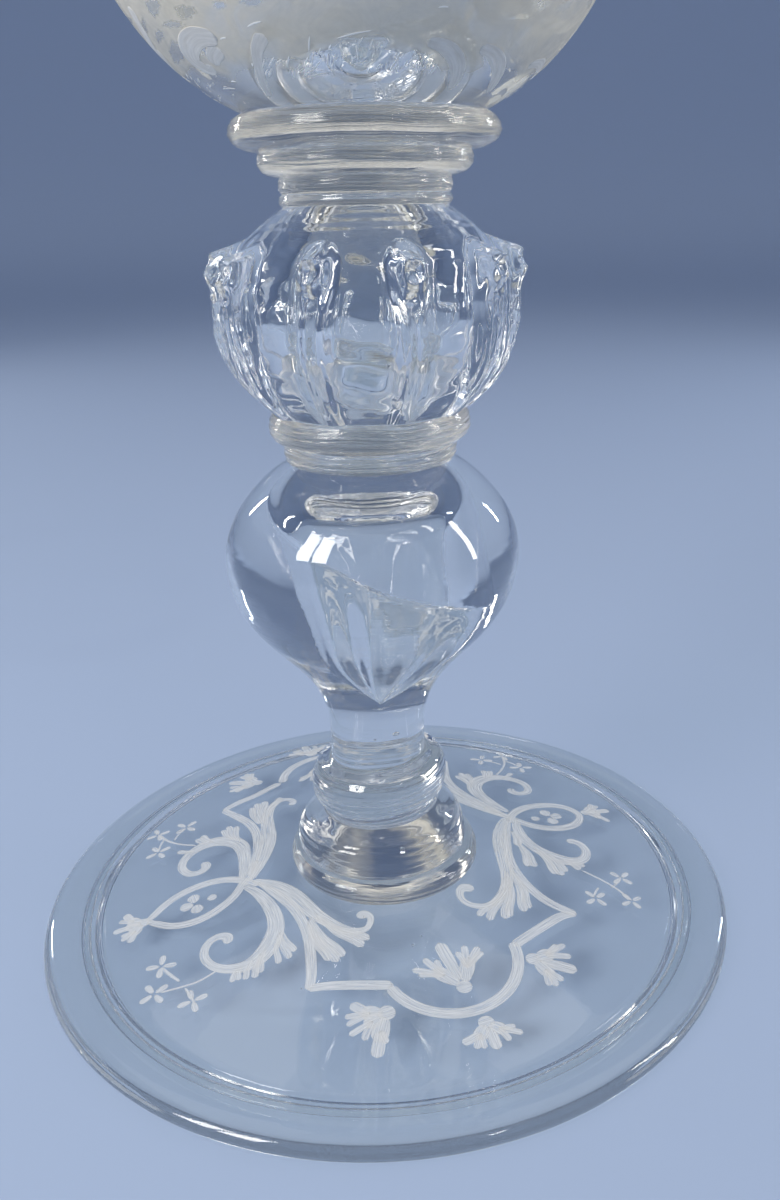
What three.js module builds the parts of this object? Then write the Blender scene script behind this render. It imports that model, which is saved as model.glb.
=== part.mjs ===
// An engraved drinking glass on a tall stem: bowl, three collars, ribbed knop, two more collars,
// inverted baluster, stem ring, stem base, foot collar and a folded conical foot.
// Millimetres, +Z up. The origin is on the table, under the middle of the foot.
import * as THREE from 'three';

// Foot, from its folded rim to the flat seat under the stem
const FOOT_RADIUS = 60;
const FOLD_WIDTH = 8.7;
const RIM_HEIGHT = 3.5;
const FOOT_WALL = 2.2;
const FOOT_SEAT_HEIGHT = 8.2;
const REST_INSET = 2.6;
const REST_WIDTH = 2.6;
const FOLD_TURN = 60;
const PONTIL_RADIUS = 9;
const PONTIL_FLOOR_RADIUS = 6.3;
const PONTIL_DEPTH = 0.7;

// Heights of the pieces that stand on the foot, from the lowest to the highest
const FOOT_COLLAR_HEIGHT = 3.6;
const STEM_BASE_HEIGHT = 7.2;
const STEM_RING_HEIGHT = 10.3;
const BALUSTER_HEIGHT = 52.1;
const BALUSTER_COLLAR_HEIGHT = 3.2;
const KNOP_COLLAR_HEIGHT = 5.0;
const RIBBED_KNOP_HEIGHT = 30.7;
const NECK_RING_HEIGHT = 4.2;
const SECOND_COLLAR_HEIGHT = 3.6;
const BOWL_COLLAR_HEIGHT = 5.2;
const BOWL_HEIGHT = 116.7;

// Radii of the round joints, each shared by the piece below it and the piece above it
const FOOT_JOINT = 16.0;
const FOOT_COLLAR_JOINT = 14.4;
const STEM_BASE_JOINT = 10.2;
const STEM_RING_JOINT = 8.2;
const BALUSTER_JOINT = 13.1;
const BALUSTER_COLLAR_JOINT = 13.5;
const KNOP_COLLAR_JOINT = 15.0;
const RIBBED_KNOP_JOINT = 12.5;
const NECK_RING_JOINT = 12.9;
const SECOND_COLLAR_JOINT = 15.7;
const BOWL_JOINT = 17.6;

// Outer radii of the rings and collars
const FOOT_COLLAR_RADIUS = 16.6;
const STEM_BASE_RADIUS = 14.9;
const STEM_RING_RADIUS = 11.8;
const BALUSTER_COLLAR_RADIUS = 14.0;
const KNOP_COLLAR_RADIUS = 16.2;
const NECK_RING_RADIUS = 13.1;
const NECK_GROOVE_RADIUS = 12.4;
const SECOND_COLLAR_RADIUS = 16.3;
const BOWL_COLLAR_RADIUS = 20.2;

// Where each collar is widest, above its own lower face
const FOOT_COLLAR_WAIST = 1.6;
const BALUSTER_COLLAR_WAIST = 1.8;
const KNOP_COLLAR_WAIST = 2.3;
const SECOND_COLLAR_WAIST = 2.2;
const BOWL_COLLAR_WAIST = 2.6;
const NECK_GROOVE_LEVEL = 1.8;

// Stem base and stem ring
const STEM_BASE_EDGE = 0.9;
const STEM_BASE_SHOULDER = 2.0;
const STEM_RING_UNDERCUT = 0.5;
const STEM_RING_LIP = 3.0;
const STEM_RING_WALL = 3.2;
const STEM_RING_NECK = 0.9;

// Inverted baluster: levels are above its lower face
const BALUSTER_RADIUS = 24.1;
const BALUSTER_WIDEST = 36.5;
const WAIST_LENGTH = 4.2;
const WAIST_FLARE = 15.5;
const SHOULDER_DROP = 6.0;
const TEAR_RADIUS = 12.2;
const TEAR_TOP_RADIUS = 7.3;
const TEAR_WIDEST = 36.0;
const TEAR_TOP = 45.0;
const TEAR_TIP = 9.0;
const BLOW_HOLE_RADIUS = 1.2;

// Ribbed knop: levels are above its lower face
const RIB_COUNT = 10;
const RIB_ANGLE = 16;
const RIB_DEPTH = 2.9;
const NUB_DEPTH = 0.7;
const KNOP_RADIUS = 21.4;
const KNOP_WIDEST = 15.5;
const KNOP_SHOULDER_RADIUS = 18.0;
const KNOP_SHOULDER = 26.4;
const KNOP_SHOULDER_ROUND = 2;
const RIB_TOP = 24.9;
const RIB_ROUNDNESS = 0.8;
const RIB_LOW_SHARE = 0.3;
const NUB_LENGTH = 2;
const NUB_DROP = 2.3;
const KNOP_CAVITY_RADIUS = 12.2;
const KNOP_CAVITY_FLOOR = 6.0;
const KNOP_CAVITY_WIDEST = 15.0;
const KNOP_CAVITY_SHOULDER = 22.5;
const KNOP_MOUTH_RADIUS = 6.0;

// Bowl: levels are above its lower face
const RIM_RADIUS = 50;
const BOWL_BELLY_RADIUS = 42;
const BOWL_BELLY = 38.7;
const BOWL_BASE_THICKNESS = 6.5;
const BOWL_BELLY_WALL = 2.6;
const RIM_WALL = 1.8;
const BASE_SPREAD = 14;
const BELLY_LEAN = 3.5;
const BELLY_PULL = 20;
const WALL_LEAN = 4;
const WALL_PULL = 23;
const RIM_LEAN = 3.2;
const RIM_PULL = 25;

// Fineness of the faceted solids
const SEGMENTS = 36;
const BEAD_STEPS = 3;
const CURVE_STEPS = 7;
const LIP_STEPS = 4;
const STEPS_PER_RIB = 8;

const clearGlass = new THREE.MeshStandardMaterial({ color: 0xdfe3df, roughness: 0.04, metalness: 0 });
const collarGlass = new THREE.MeshStandardMaterial({ color: 0xd9d9cf, roughness: 0.06, metalness: 0 });
const engravedGlass = new THREE.MeshStandardMaterial({ color: 0xd5d9d8, roughness: 0.35, metalness: 0 });

const glass = new THREE.Group();
const point = (radius, level) => new THREE.Vector2(radius, level);

// Points of a quarter or half ellipse in the plane of radius and height, angles in degrees
function arc(radius, level, wide, high, from, to, steps) {
  const points = [];
  for (let i = 0; i <= steps; i += 1) {
    const angle = THREE.MathUtils.degToRad(from + (to - from) * i / steps);
    points.push(point(radius + wide * Math.cos(angle), level + high * Math.sin(angle)));
  }
  return points;
}

// Points of a cubic curve, without its first one
function bend(start, leave, arrive, end, steps) {
  return new THREE.CubicBezierCurve(start, leave, arrive, end).getPoints(steps).slice(1);
}

// A closed solid of revolution about Z from an outline that starts and ends on the axis
function turned(outline, segments) {
  const geometry = new THREE.LatheGeometry(outline, segments);
  geometry.rotateX(Math.PI / 2);
  return geometry;
}

// Adds one piece, standing with its lower face at the given height
function stand(name, geometry, material, base) {
  const mesh = new THREE.Mesh(geometry, material);
  mesh.name = name;
  mesh.position.z = base;
  glass.add(mesh);
}

// A collar: a disc with a round edge, widest at the waist level, with its two joint radii
function collar(radius, waist, height, lowerJoint, upperJoint) {
  return [
    point(0, 0),
    ...arc(lowerJoint, waist, radius - lowerJoint, waist, -90, 0, BEAD_STEPS),
    ...arc(upperJoint, waist, radius - upperJoint, height - waist, 0, 90, BEAD_STEPS).slice(1),
    point(0, height),
  ];
}

// The foot: a low cone over a folded rim, which alone touches the table
function foot() {
  const foldInside = FOOT_RADIUS - FOLD_WIDTH;
  const restOutside = FOOT_RADIUS - REST_INSET;
  const restInside = restOutside - REST_WIDTH;
  const half = RIM_HEIGHT / 2;
  const ceiling = FOOT_SEAT_HEIGHT - FOOT_WALL;
  return [
    point(0, ceiling + PONTIL_DEPTH),
    point(PONTIL_FLOOR_RADIUS, ceiling + PONTIL_DEPTH),
    point(PONTIL_RADIUS, ceiling),
    point(FOOT_JOINT, ceiling),
    point(foldInside, RIM_HEIGHT - FOOT_WALL),
    ...arc(foldInside + half / 2, half / 2, half / 2, half / 2, 180, 180 + FOLD_TURN, BEAD_STEPS),
    point(restInside, 0),
    point(restOutside, 0),
    ...arc(restOutside, half, REST_INSET, half, -FOLD_TURN, 0, BEAD_STEPS),
    ...arc(restOutside, half, REST_INSET, half, 0, 90, BEAD_STEPS).slice(1),
    point(foldInside, RIM_HEIGHT),
    point(FOOT_JOINT, FOOT_SEAT_HEIGHT),
    point(0, FOOT_SEAT_HEIGHT),
  ];
}

// The neck ring: two beads with a groove between them
function neckRing() {
  const half = NECK_GROOVE_LEVEL / 2;
  const upperHeight = NECK_RING_HEIGHT - NECK_GROOVE_LEVEL;
  const lower = collar(NECK_RING_RADIUS, half, NECK_GROOVE_LEVEL, RIBBED_KNOP_JOINT, NECK_GROOVE_RADIUS);
  const upper = collar(NECK_RING_RADIUS, upperHeight / 2, upperHeight, NECK_GROOVE_RADIUS, NECK_RING_JOINT);
  const raised = upper.map((p) => point(p.x, p.y + NECK_GROOVE_LEVEL));
  return [...lower.slice(0, -1), ...raised.slice(2)];
}

// The stem base: a bell that narrows from a sharp edge to the stem
function stemBase() {
  return [
    point(0, 0),
    point(FOOT_COLLAR_JOINT, 0),
    point(STEM_BASE_RADIUS, STEM_BASE_EDGE),
    ...bend(
      point(STEM_BASE_RADIUS, STEM_BASE_EDGE),
      point(STEM_BASE_RADIUS, STEM_BASE_HEIGHT - STEM_BASE_SHOULDER),
      point(STEM_BASE_JOINT + STEM_BASE_SHOULDER, STEM_BASE_HEIGHT - STEM_BASE_SHOULDER / 2),
      point(STEM_BASE_JOINT, STEM_BASE_HEIGHT),
      CURVE_STEPS - 2,
    ),
    point(0, STEM_BASE_HEIGHT),
  ];
}

// The stem ring: a cushion, undercut below and drawn in to the stem above
function stemRing() {
  const wallTop = STEM_RING_LIP + STEM_RING_WALL;
  return [
    point(0, 0),
    point(STEM_BASE_JOINT, 0),
    point(STEM_BASE_JOINT - STEM_RING_UNDERCUT, STEM_RING_LIP / 2),
    point(STEM_RING_RADIUS - STEM_RING_UNDERCUT, STEM_RING_LIP),
    point(STEM_RING_RADIUS, wallTop),
    ...bend(
      point(STEM_RING_RADIUS, wallTop),
      point(STEM_RING_RADIUS - STEM_RING_UNDERCUT, STEM_RING_HEIGHT - STEM_RING_NECK),
      point(STEM_RING_JOINT + STEM_RING_NECK, STEM_RING_HEIGHT - STEM_RING_NECK),
      point(STEM_RING_JOINT, STEM_RING_HEIGHT),
      CURVE_STEPS - 2,
    ),
    point(0, STEM_RING_HEIGHT),
  ];
}

// The inverted baluster and the stem under it, with a tear of air that its blow hole leads to
function baluster() {
  const widest = point(BALUSTER_RADIUS, BALUSTER_WIDEST);
  const waistTop = point(STEM_RING_JOINT, WAIST_LENGTH);
  const tearWidest = point(TEAR_RADIUS, TEAR_WIDEST);
  return [
    point(0, 0),
    point(STEM_RING_JOINT, 0),
    waistTop,
    ...bend(
      waistTop,
      point(STEM_RING_JOINT, WAIST_LENGTH + WAIST_FLARE),
      point(BALUSTER_RADIUS, BALUSTER_WIDEST - WAIST_FLARE),
      widest,
      CURVE_STEPS + 2,
    ),
    ...bend(
      widest,
      point(BALUSTER_RADIUS, BALUSTER_WIDEST + SHOULDER_DROP),
      point(BALUSTER_JOINT + SHOULDER_DROP, BALUSTER_HEIGHT - SHOULDER_DROP / 2),
      point(BALUSTER_JOINT, BALUSTER_HEIGHT),
      CURVE_STEPS,
    ),
    point(BLOW_HOLE_RADIUS, BALUSTER_HEIGHT),
    point(BLOW_HOLE_RADIUS, TEAR_TOP),
    point(TEAR_TOP_RADIUS, TEAR_TOP),
    ...bend(
      point(TEAR_TOP_RADIUS, TEAR_TOP),
      point(TEAR_RADIUS, TEAR_TOP),
      point(TEAR_RADIUS, TEAR_TOP),
      tearWidest,
      CURVE_STEPS - 3,
    ),
    ...bend(
      tearWidest,
      point(TEAR_RADIUS, TEAR_WIDEST - SHOULDER_DROP),
      point(TEAR_TOP_RADIUS / 2, TEAR_TIP + WAIST_FLARE / 2),
      point(0, TEAR_TIP),
      CURVE_STEPS - 1,
    ),
  ];
}

// How far a rib stands out at one angle and level: full below its nub, fading to the lower joint
function ribReach(angle, level) {
  const turn = RIB_COUNT * (angle - THREE.MathUtils.degToRad(RIB_ANGLE));
  const crest = ((1 + Math.cos(turn)) / 2) ** RIB_ROUNDNESS;
  const rise = THREE.MathUtils.smoothstep(level, 0, KNOP_WIDEST);
  const nubStart = RIB_TOP - NUB_LENGTH;
  const top = 1 - THREE.MathUtils.smoothstep(level, nubStart, nubStart + NUB_DROP);
  const nub = NUB_DEPTH * THREE.MathUtils.smoothstep(level, KNOP_WIDEST, nubStart);
  return crest * top * (RIB_LOW_SHARE + (1 - RIB_LOW_SHARE) * rise) * (RIB_DEPTH + nub);
}

// The ribbed knop: a hollow ball with a sloping shoulder, and ribs from a nub down to the lower joint
function ribbedKnop() {
  const outside = [
    point(KNOP_COLLAR_JOINT, 0),
    ...bend(
      point(KNOP_COLLAR_JOINT, 0),
      point(KNOP_RADIUS, KNOP_WIDEST / 3),
      point(KNOP_RADIUS, KNOP_WIDEST * 2 / 3),
      point(KNOP_RADIUS, KNOP_WIDEST),
      CURVE_STEPS,
    ),
    ...bend(
      point(KNOP_RADIUS, KNOP_WIDEST),
      point(KNOP_RADIUS, (KNOP_WIDEST + KNOP_SHOULDER) / 2),
      point(KNOP_SHOULDER_RADIUS + KNOP_SHOULDER_ROUND, KNOP_SHOULDER - KNOP_SHOULDER_ROUND),
      point(KNOP_SHOULDER_RADIUS, KNOP_SHOULDER),
      CURVE_STEPS + 2,
    ),
    point(RIBBED_KNOP_JOINT, RIBBED_KNOP_HEIGHT),
  ];
  const cavityDepth = KNOP_CAVITY_WIDEST - KNOP_CAVITY_FLOOR;
  const outline = [
    point(0, 0),
    ...outside,
    point(KNOP_MOUTH_RADIUS, RIBBED_KNOP_HEIGHT),
    ...bend(
      point(KNOP_MOUTH_RADIUS, RIBBED_KNOP_HEIGHT),
      point(KNOP_MOUTH_RADIUS, KNOP_CAVITY_SHOULDER),
      point(KNOP_CAVITY_RADIUS, KNOP_CAVITY_SHOULDER),
      point(KNOP_CAVITY_RADIUS, KNOP_CAVITY_WIDEST),
      CURVE_STEPS - 2,
    ),
    ...arc(0, KNOP_CAVITY_WIDEST, KNOP_CAVITY_RADIUS, cavityDepth, 0, -90, LIP_STEPS).slice(1),
  ];
  const geometry = turned(outline, RIB_COUNT * STEPS_PER_RIB);
  const position = geometry.attributes.position;
  for (let i = 0; i < position.count; i += 1) {
    const column = i % outline.length;
    if (column > 1 && column < outside.length) {
      const angle = Math.atan2(position.getX(i), -position.getY(i));
      const reach = ribReach(angle, position.getZ(i));
      const radius = Math.hypot(position.getX(i), position.getY(i));
      position.setX(i, position.getX(i) * (radius + reach) / radius);
      position.setY(i, position.getY(i) * (radius + reach) / radius);
    }
  }
  return geometry;
}

// The bowl: rounded below, nearly straight above, with a thick base and a thin round lip
function bowl() {
  const belly = point(BOWL_BELLY_RADIUS, BOWL_BELLY);
  const innerBelly = point(BOWL_BELLY_RADIUS - BOWL_BELLY_WALL, BOWL_BELLY + BOWL_BELLY_WALL);
  const lip = RIM_WALL / 2;
  const innerRim = point(RIM_RADIUS - RIM_WALL, BOWL_HEIGHT - lip);
  return [
    point(0, 0),
    point(BOWL_JOINT, 0),
    ...bend(
      point(BOWL_JOINT, 0),
      point(BOWL_JOINT + BASE_SPREAD, BOWL_BASE_THICKNESS),
      point(BOWL_BELLY_RADIUS - BELLY_LEAN, BOWL_BELLY - BELLY_PULL),
      belly,
      CURVE_STEPS + 1,
    ),
    ...bend(
      belly,
      point(BOWL_BELLY_RADIUS + WALL_LEAN, BOWL_BELLY + WALL_PULL),
      point(RIM_RADIUS - RIM_LEAN, BOWL_HEIGHT - RIM_PULL),
      point(RIM_RADIUS, BOWL_HEIGHT - lip),
      CURVE_STEPS - 1,
    ),
    ...arc(RIM_RADIUS - lip, BOWL_HEIGHT - lip, lip, lip, 0, 180, LIP_STEPS).slice(1),
    ...bend(
      innerRim,
      point(RIM_RADIUS - RIM_LEAN - RIM_WALL, BOWL_HEIGHT - RIM_PULL),
      point(innerBelly.x + WALL_LEAN, BOWL_BELLY + WALL_PULL),
      innerBelly,
      CURVE_STEPS - 1,
    ),
    ...bend(
      innerBelly,
      point(innerBelly.x - BELLY_LEAN, innerBelly.y - BELLY_PULL),
      point(BOWL_JOINT, BOWL_BASE_THICKNESS),
      point(0, BOWL_BASE_THICKNESS),
      CURVE_STEPS + 1,
    ),
  ];
}

// The pieces, each on top of the one before
let level = 0;
stand('foot', turned(foot(), SEGMENTS), clearGlass, level);

level += FOOT_SEAT_HEIGHT;
const footCollar = collar(
  FOOT_COLLAR_RADIUS, FOOT_COLLAR_WAIST, FOOT_COLLAR_HEIGHT, FOOT_JOINT, FOOT_COLLAR_JOINT,
);
stand('foot_collar', turned(footCollar, SEGMENTS), collarGlass, level);

level += FOOT_COLLAR_HEIGHT;
stand('stem_base', turned(stemBase(), SEGMENTS), clearGlass, level);

level += STEM_BASE_HEIGHT;
stand('stem_ring', turned(stemRing(), SEGMENTS), clearGlass, level);

level += STEM_RING_HEIGHT;
stand('baluster', turned(baluster(), SEGMENTS), clearGlass, level);

level += BALUSTER_HEIGHT;
const balusterCollar = collar(
  BALUSTER_COLLAR_RADIUS, BALUSTER_COLLAR_WAIST, BALUSTER_COLLAR_HEIGHT,
  BALUSTER_JOINT, BALUSTER_COLLAR_JOINT,
);
stand('baluster_collar', turned(balusterCollar, SEGMENTS), collarGlass, level);

level += BALUSTER_COLLAR_HEIGHT;
const knopCollar = collar(
  KNOP_COLLAR_RADIUS, KNOP_COLLAR_WAIST, KNOP_COLLAR_HEIGHT, BALUSTER_COLLAR_JOINT, KNOP_COLLAR_JOINT,
);
stand('knop_collar', turned(knopCollar, SEGMENTS), collarGlass, level);

level += KNOP_COLLAR_HEIGHT;
stand('ribbed_knop', ribbedKnop(), clearGlass, level);

level += RIBBED_KNOP_HEIGHT;
stand('neck_ring', turned(neckRing(), SEGMENTS), collarGlass, level);

level += NECK_RING_HEIGHT;
const secondCollar = collar(
  SECOND_COLLAR_RADIUS, SECOND_COLLAR_WAIST, SECOND_COLLAR_HEIGHT, NECK_RING_JOINT, SECOND_COLLAR_JOINT,
);
stand('second_collar', turned(secondCollar, SEGMENTS), collarGlass, level);

level += SECOND_COLLAR_HEIGHT;
const bowlCollar = collar(
  BOWL_COLLAR_RADIUS, BOWL_COLLAR_WAIST, BOWL_COLLAR_HEIGHT, SECOND_COLLAR_JOINT, BOWL_JOINT,
);
stand('bowl_collar', turned(bowlCollar, SEGMENTS), collarGlass, level);

level += BOWL_COLLAR_HEIGHT;
stand('bowl', turned(bowl(), SEGMENTS), engravedGlass, level);

export default glass;
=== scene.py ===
import math

import bpy
import numpy as np
from mathutils import Matrix, Vector


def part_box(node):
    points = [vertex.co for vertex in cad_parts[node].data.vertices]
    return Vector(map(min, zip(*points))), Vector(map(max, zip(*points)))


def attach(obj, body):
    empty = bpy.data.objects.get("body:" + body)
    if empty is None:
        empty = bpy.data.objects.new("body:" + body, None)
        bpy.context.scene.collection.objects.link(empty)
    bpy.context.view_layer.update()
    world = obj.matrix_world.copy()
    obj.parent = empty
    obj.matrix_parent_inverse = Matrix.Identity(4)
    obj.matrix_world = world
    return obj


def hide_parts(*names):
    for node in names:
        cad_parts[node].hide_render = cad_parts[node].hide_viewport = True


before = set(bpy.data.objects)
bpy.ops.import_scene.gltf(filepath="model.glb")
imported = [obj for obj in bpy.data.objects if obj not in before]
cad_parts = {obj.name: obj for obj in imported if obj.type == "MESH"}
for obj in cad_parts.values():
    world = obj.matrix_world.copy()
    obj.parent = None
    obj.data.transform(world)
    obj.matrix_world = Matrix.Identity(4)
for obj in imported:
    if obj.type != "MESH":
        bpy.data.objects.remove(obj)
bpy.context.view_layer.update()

# Lengths are millimetres until a mesh is written, which puts them into metres
MM = 0.001
TINY = 1e-5
TURN = 2 * math.pi
TURN_STEPS = 256
CURVE_STEPS = 24
EDGE_STEPS = 12
NO_TRIANGLES = np.zeros((0, 3), int)
# The order of a quad's corners that turns its face round
TURNED_ROUND = [0, 3, 2, 1]

# How the hand-made stem leans sideways, as pairs of level and sideways shift
LEAN = ((0, 0), (8, 0), (11, -0.8), (32, -1.0), (66, -0.5), (105, 0), (131, 0.7), (170, 0.5), (250, 0))
LEAN_EASE = 7
RING_LEVEL = 24.5
RING_REACH = 10.0
RING_TILT = 0.085

# Foot
FOLD_WIDTH = 8.7
RIM_HEIGHT = 3.5
FOOT_WALL = 2.2
REST_INSET = 2.6
REST_WIDTH = 2.6
PONTIL_RADIUS = 9.0
PONTIL_DEPTH = 0.7
CONE_BOW = 1.08

# Radii of the round joints between the pieces, from the foot up
JOINTS = {
    "foot": 16.0,
    "foot_collar": 14.4,
    "stem_base": 10.2,
    "stem_ring": 8.2,
    "baluster": 13.1,
    "baluster_collar": 13.5,
    "knop_collar": 15.0,
    "ribbed_knop": 12.5,
    "neck_ring": 12.9,
    "second_collar": 15.7,
    "bowl_collar": 17.6,
}
ORDER = [*JOINTS, "bowl"]

# Height between turned lines
LINE_PITCH = 1.05
NECK_PITCH = 1.15

# How far above its lower face each collar is widest
WAISTS = {
    "foot_collar": 1.6,
    "baluster_collar": 1.8,
    "knop_collar": 2.3,
    "second_collar": 2.2,
    "bowl_collar": 2.6,
}

# Neck ring: the groove between its two beads
BEADS_RADIUS = 12.4
BEADS_LEVEL = 1.8

# Stem base and stem ring
BASE_EDGE = 0.9
BASE_SHOULDER = 2.0
RING_UNDERCUT = 0.5
RING_LIP = 3.0
RING_WALL = 3.2
RING_NECK = 0.9

# Baluster and its tear of air
BALUSTER_WIDEST = 36.5
WAIST_LENGTH = 4.2
WAIST_FLARE = 15.5
SHOULDER_DROP = 6.0
TEAR_RADIUS = 12.8
TEAR_TOP_RADIUS = 7.3
TEAR_WIDEST = 36.0
TEAR_TOP = 43.2
TEAR_EDGE = 33.8
TEAR_TIP = 12.4
TEAR_SHIFT = 0.3
TEAR_FOLDS = 0.13
TEAR_TILT = -0.40

# Ribbed knop
RIB_COUNT = 10
KNOP_STEPS = 560
RIB_ANGLE = math.radians(16)
RIB_DEPTH = 2.9
RIB_HALF = 2.35
RIB_LOW_SHARE = 0.42
NUB_DEPTH = 1.6
NUB_LENGTH = 2.6
NUB_DROP = 2.8
NUB_LOW = 1.4
NUB_SPREAD = 3.2
GROOVE_DEPTH = 0.95
GROOVE_HALF = 0.7
# The pits of a nub: how far across, how far down, and size in mm
PITS = ((0.2, 1.4, 1.25), (1.1, -0.9, 0.7), (-0.9, 5.2, 0.75))
PIT_LIP = 0.34
PIT_DEPTH = 0.75
KNOP_RADIUS = 21.4
KNOP_WIDEST = 15.5
KNOP_SHOULDER_RADIUS = 18.0
KNOP_SHOULDER = 26.4
KNOP_ROUND = 2.0
RIB_TOP = 26.3
CAVITY_RADIUS = 15.2
CAVITY_FLOOR = 4.6
CAVITY_WIDEST = 15.0
CAVITY_TOP = 29.4
HOLLOW_STEPS = 192

# Bowl
BELLY_RADIUS = 42.0
BELLY_LEVEL = 38.7
BASE_THICKNESS = 6.5
BELLY_WALL = 2.6
RIM_WALL = 1.8
BASE_SPREAD = 14.0
BELLY_LEAN = 3.5
BELLY_PULL = 20.0
WALL_LEAN = 4.0
WALL_PULL = 23.0
RIM_LEAN = 3.2
RIM_PULL = 25.0

# Engraving of the foot. Each quarter has its own frame: X sideways and Y outwards from the pattern's middle.
# A stroke is a row of points (x, y, width). A finger is its root, its tip and its width. A flower is its
# middle, a petal's heading and length. A palmette is its round bulb (x, y, width) and its leaves, each as the
# end of its body (x, y, width) and the tips (x, y, width) that fan out of it.
PATTERN_MIDDLE = (-0.5, 2.8)
PATTERN_HEADING = math.radians(289.2)
BAND = 1.9
ARC_RADIUS = 11.0
ARC_LEVEL = 31.6
ARC_ENDS = (11, 176)
ARC_POINTS = 15
FRONT_LEFT = {
    "strokes": [
        [(24.8, 0.2, 1.2), (22.6, 2.6, 2.2), (20.7, 5.4, 2.8), (19.2, 8.8, 3.0), (18.1, 12.4, 2.8),
         (17.0, 15.4, 2.4), (15.0, 18.9, 1.9), (12.8, 21.0, 1.5), (10.9, 21.3, 1.2), (9.7, 20.2, 1.1),
         (9.5, 18.9, 1.3), (10.4, 18.2, 1.9), (11.0, 18.9, 1.6)],
        [(24.0, 1.2, 1.0), (22.6, 4.6, 1.5), (21.2, 8.2, 1.8), (20.3, 11.4, 1.8), (19.9, 15.0, 1.8),
         (20.1, 19.0, 1.8), (20.9, 22.8, 1.8), (22.0, 26.6, 1.7), (23.2, 29.1, 1.5)],
        [(23.3, 28.7, 1.4), (20.0, 29.7, 1.7), (15.6, 31.6, 1.8), (11.0, 33.7, 1.8)],
        [(26.4, 0.9, 1.0), (25.0, 3.6, 1.9), (24.0, 7.2, 2.4), (23.7, 11.0, 2.7), (24.3, 14.2, 3.0),
         (26.1, 17.2, 3.4), (28.6, 19.2, 3.0), (31.0, 19.7, 2.4), (33.5, 18.9, 1.9), (35.4, 17.2, 1.6),
         (36.3, 14.8, 1.5), (35.9, 12.7, 1.5), (34.6, 11.3, 1.5), (33.0, 11.1, 1.6), (32.0, 12.0, 1.9),
         (32.3, 13.4, 1.4)],
        [(35.2, 18.4, 0.35), (38.2, 19.1, 0.4), (41.0, 18.9, 0.4), (44.0, 18.4, 0.4)],
        [(43.0, 13.0, 0.4), (42.2, 15.0, 0.6), (40.9, 17.6, 0.5)],
        [(40.4, 19.4, 0.4), (39.9, 21.6, 0.4), (39.6, 23.6, 0.4)],
    ],
    "fingers": [
        ((17.6, 14.0), (12.6, 24.6), 1.7), ((18.0, 15.0), (11.2, 23.6), 1.6),
        ((18.6, 14.5), (16.2, 25.2), 1.7), ((18.9, 15.0), (17.4, 25.8), 1.7),
        ((19.2, 15.5), (18.5, 25.0), 1.5), ((23.6, 15.0), (22.9, 20.6), 1.2),
        ((24.0, 15.5), (24.1, 21.6), 1.3), ((24.4, 15.8), (26.0, 21.8), 1.1),
        ((27.0, 17.8), (29.2, 22.2), 1.3), ((28.0, 18.3), (30.2, 22.8), 1.2),
        ((29.4, 18.9), (31.6, 22.4), 1.1), ((31.4, 19.4), (32.6, 22.0), 1.0),
        ((32.0, 19.4), (33.6, 21.9), 1.0),
    ],
    "flowers": [((43.0, 12.8), 72, 2.5), ((45.0, 18.2), 20, 2.5), ((39.8, 22.6), 92, 2.4)],
    "palmettes": [
        ((13.8, 38.0, 2.7), [((17.4, 36.6, 2.6), [(18.2, 34.3, 1.5), (19.8, 36.2, 0.9), (20.0, 37.7, 0.9)]),
                             ((17.6, 38.9, 2.4), [(20.2, 39.5, 0.9), (18.5, 41.2, 1.0)]),
                             ((16.8, 42.2, 2.4), [(17.8, 44.7, 1.7), (15.6, 43.0, 1.1)])]),
    ],
}
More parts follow.
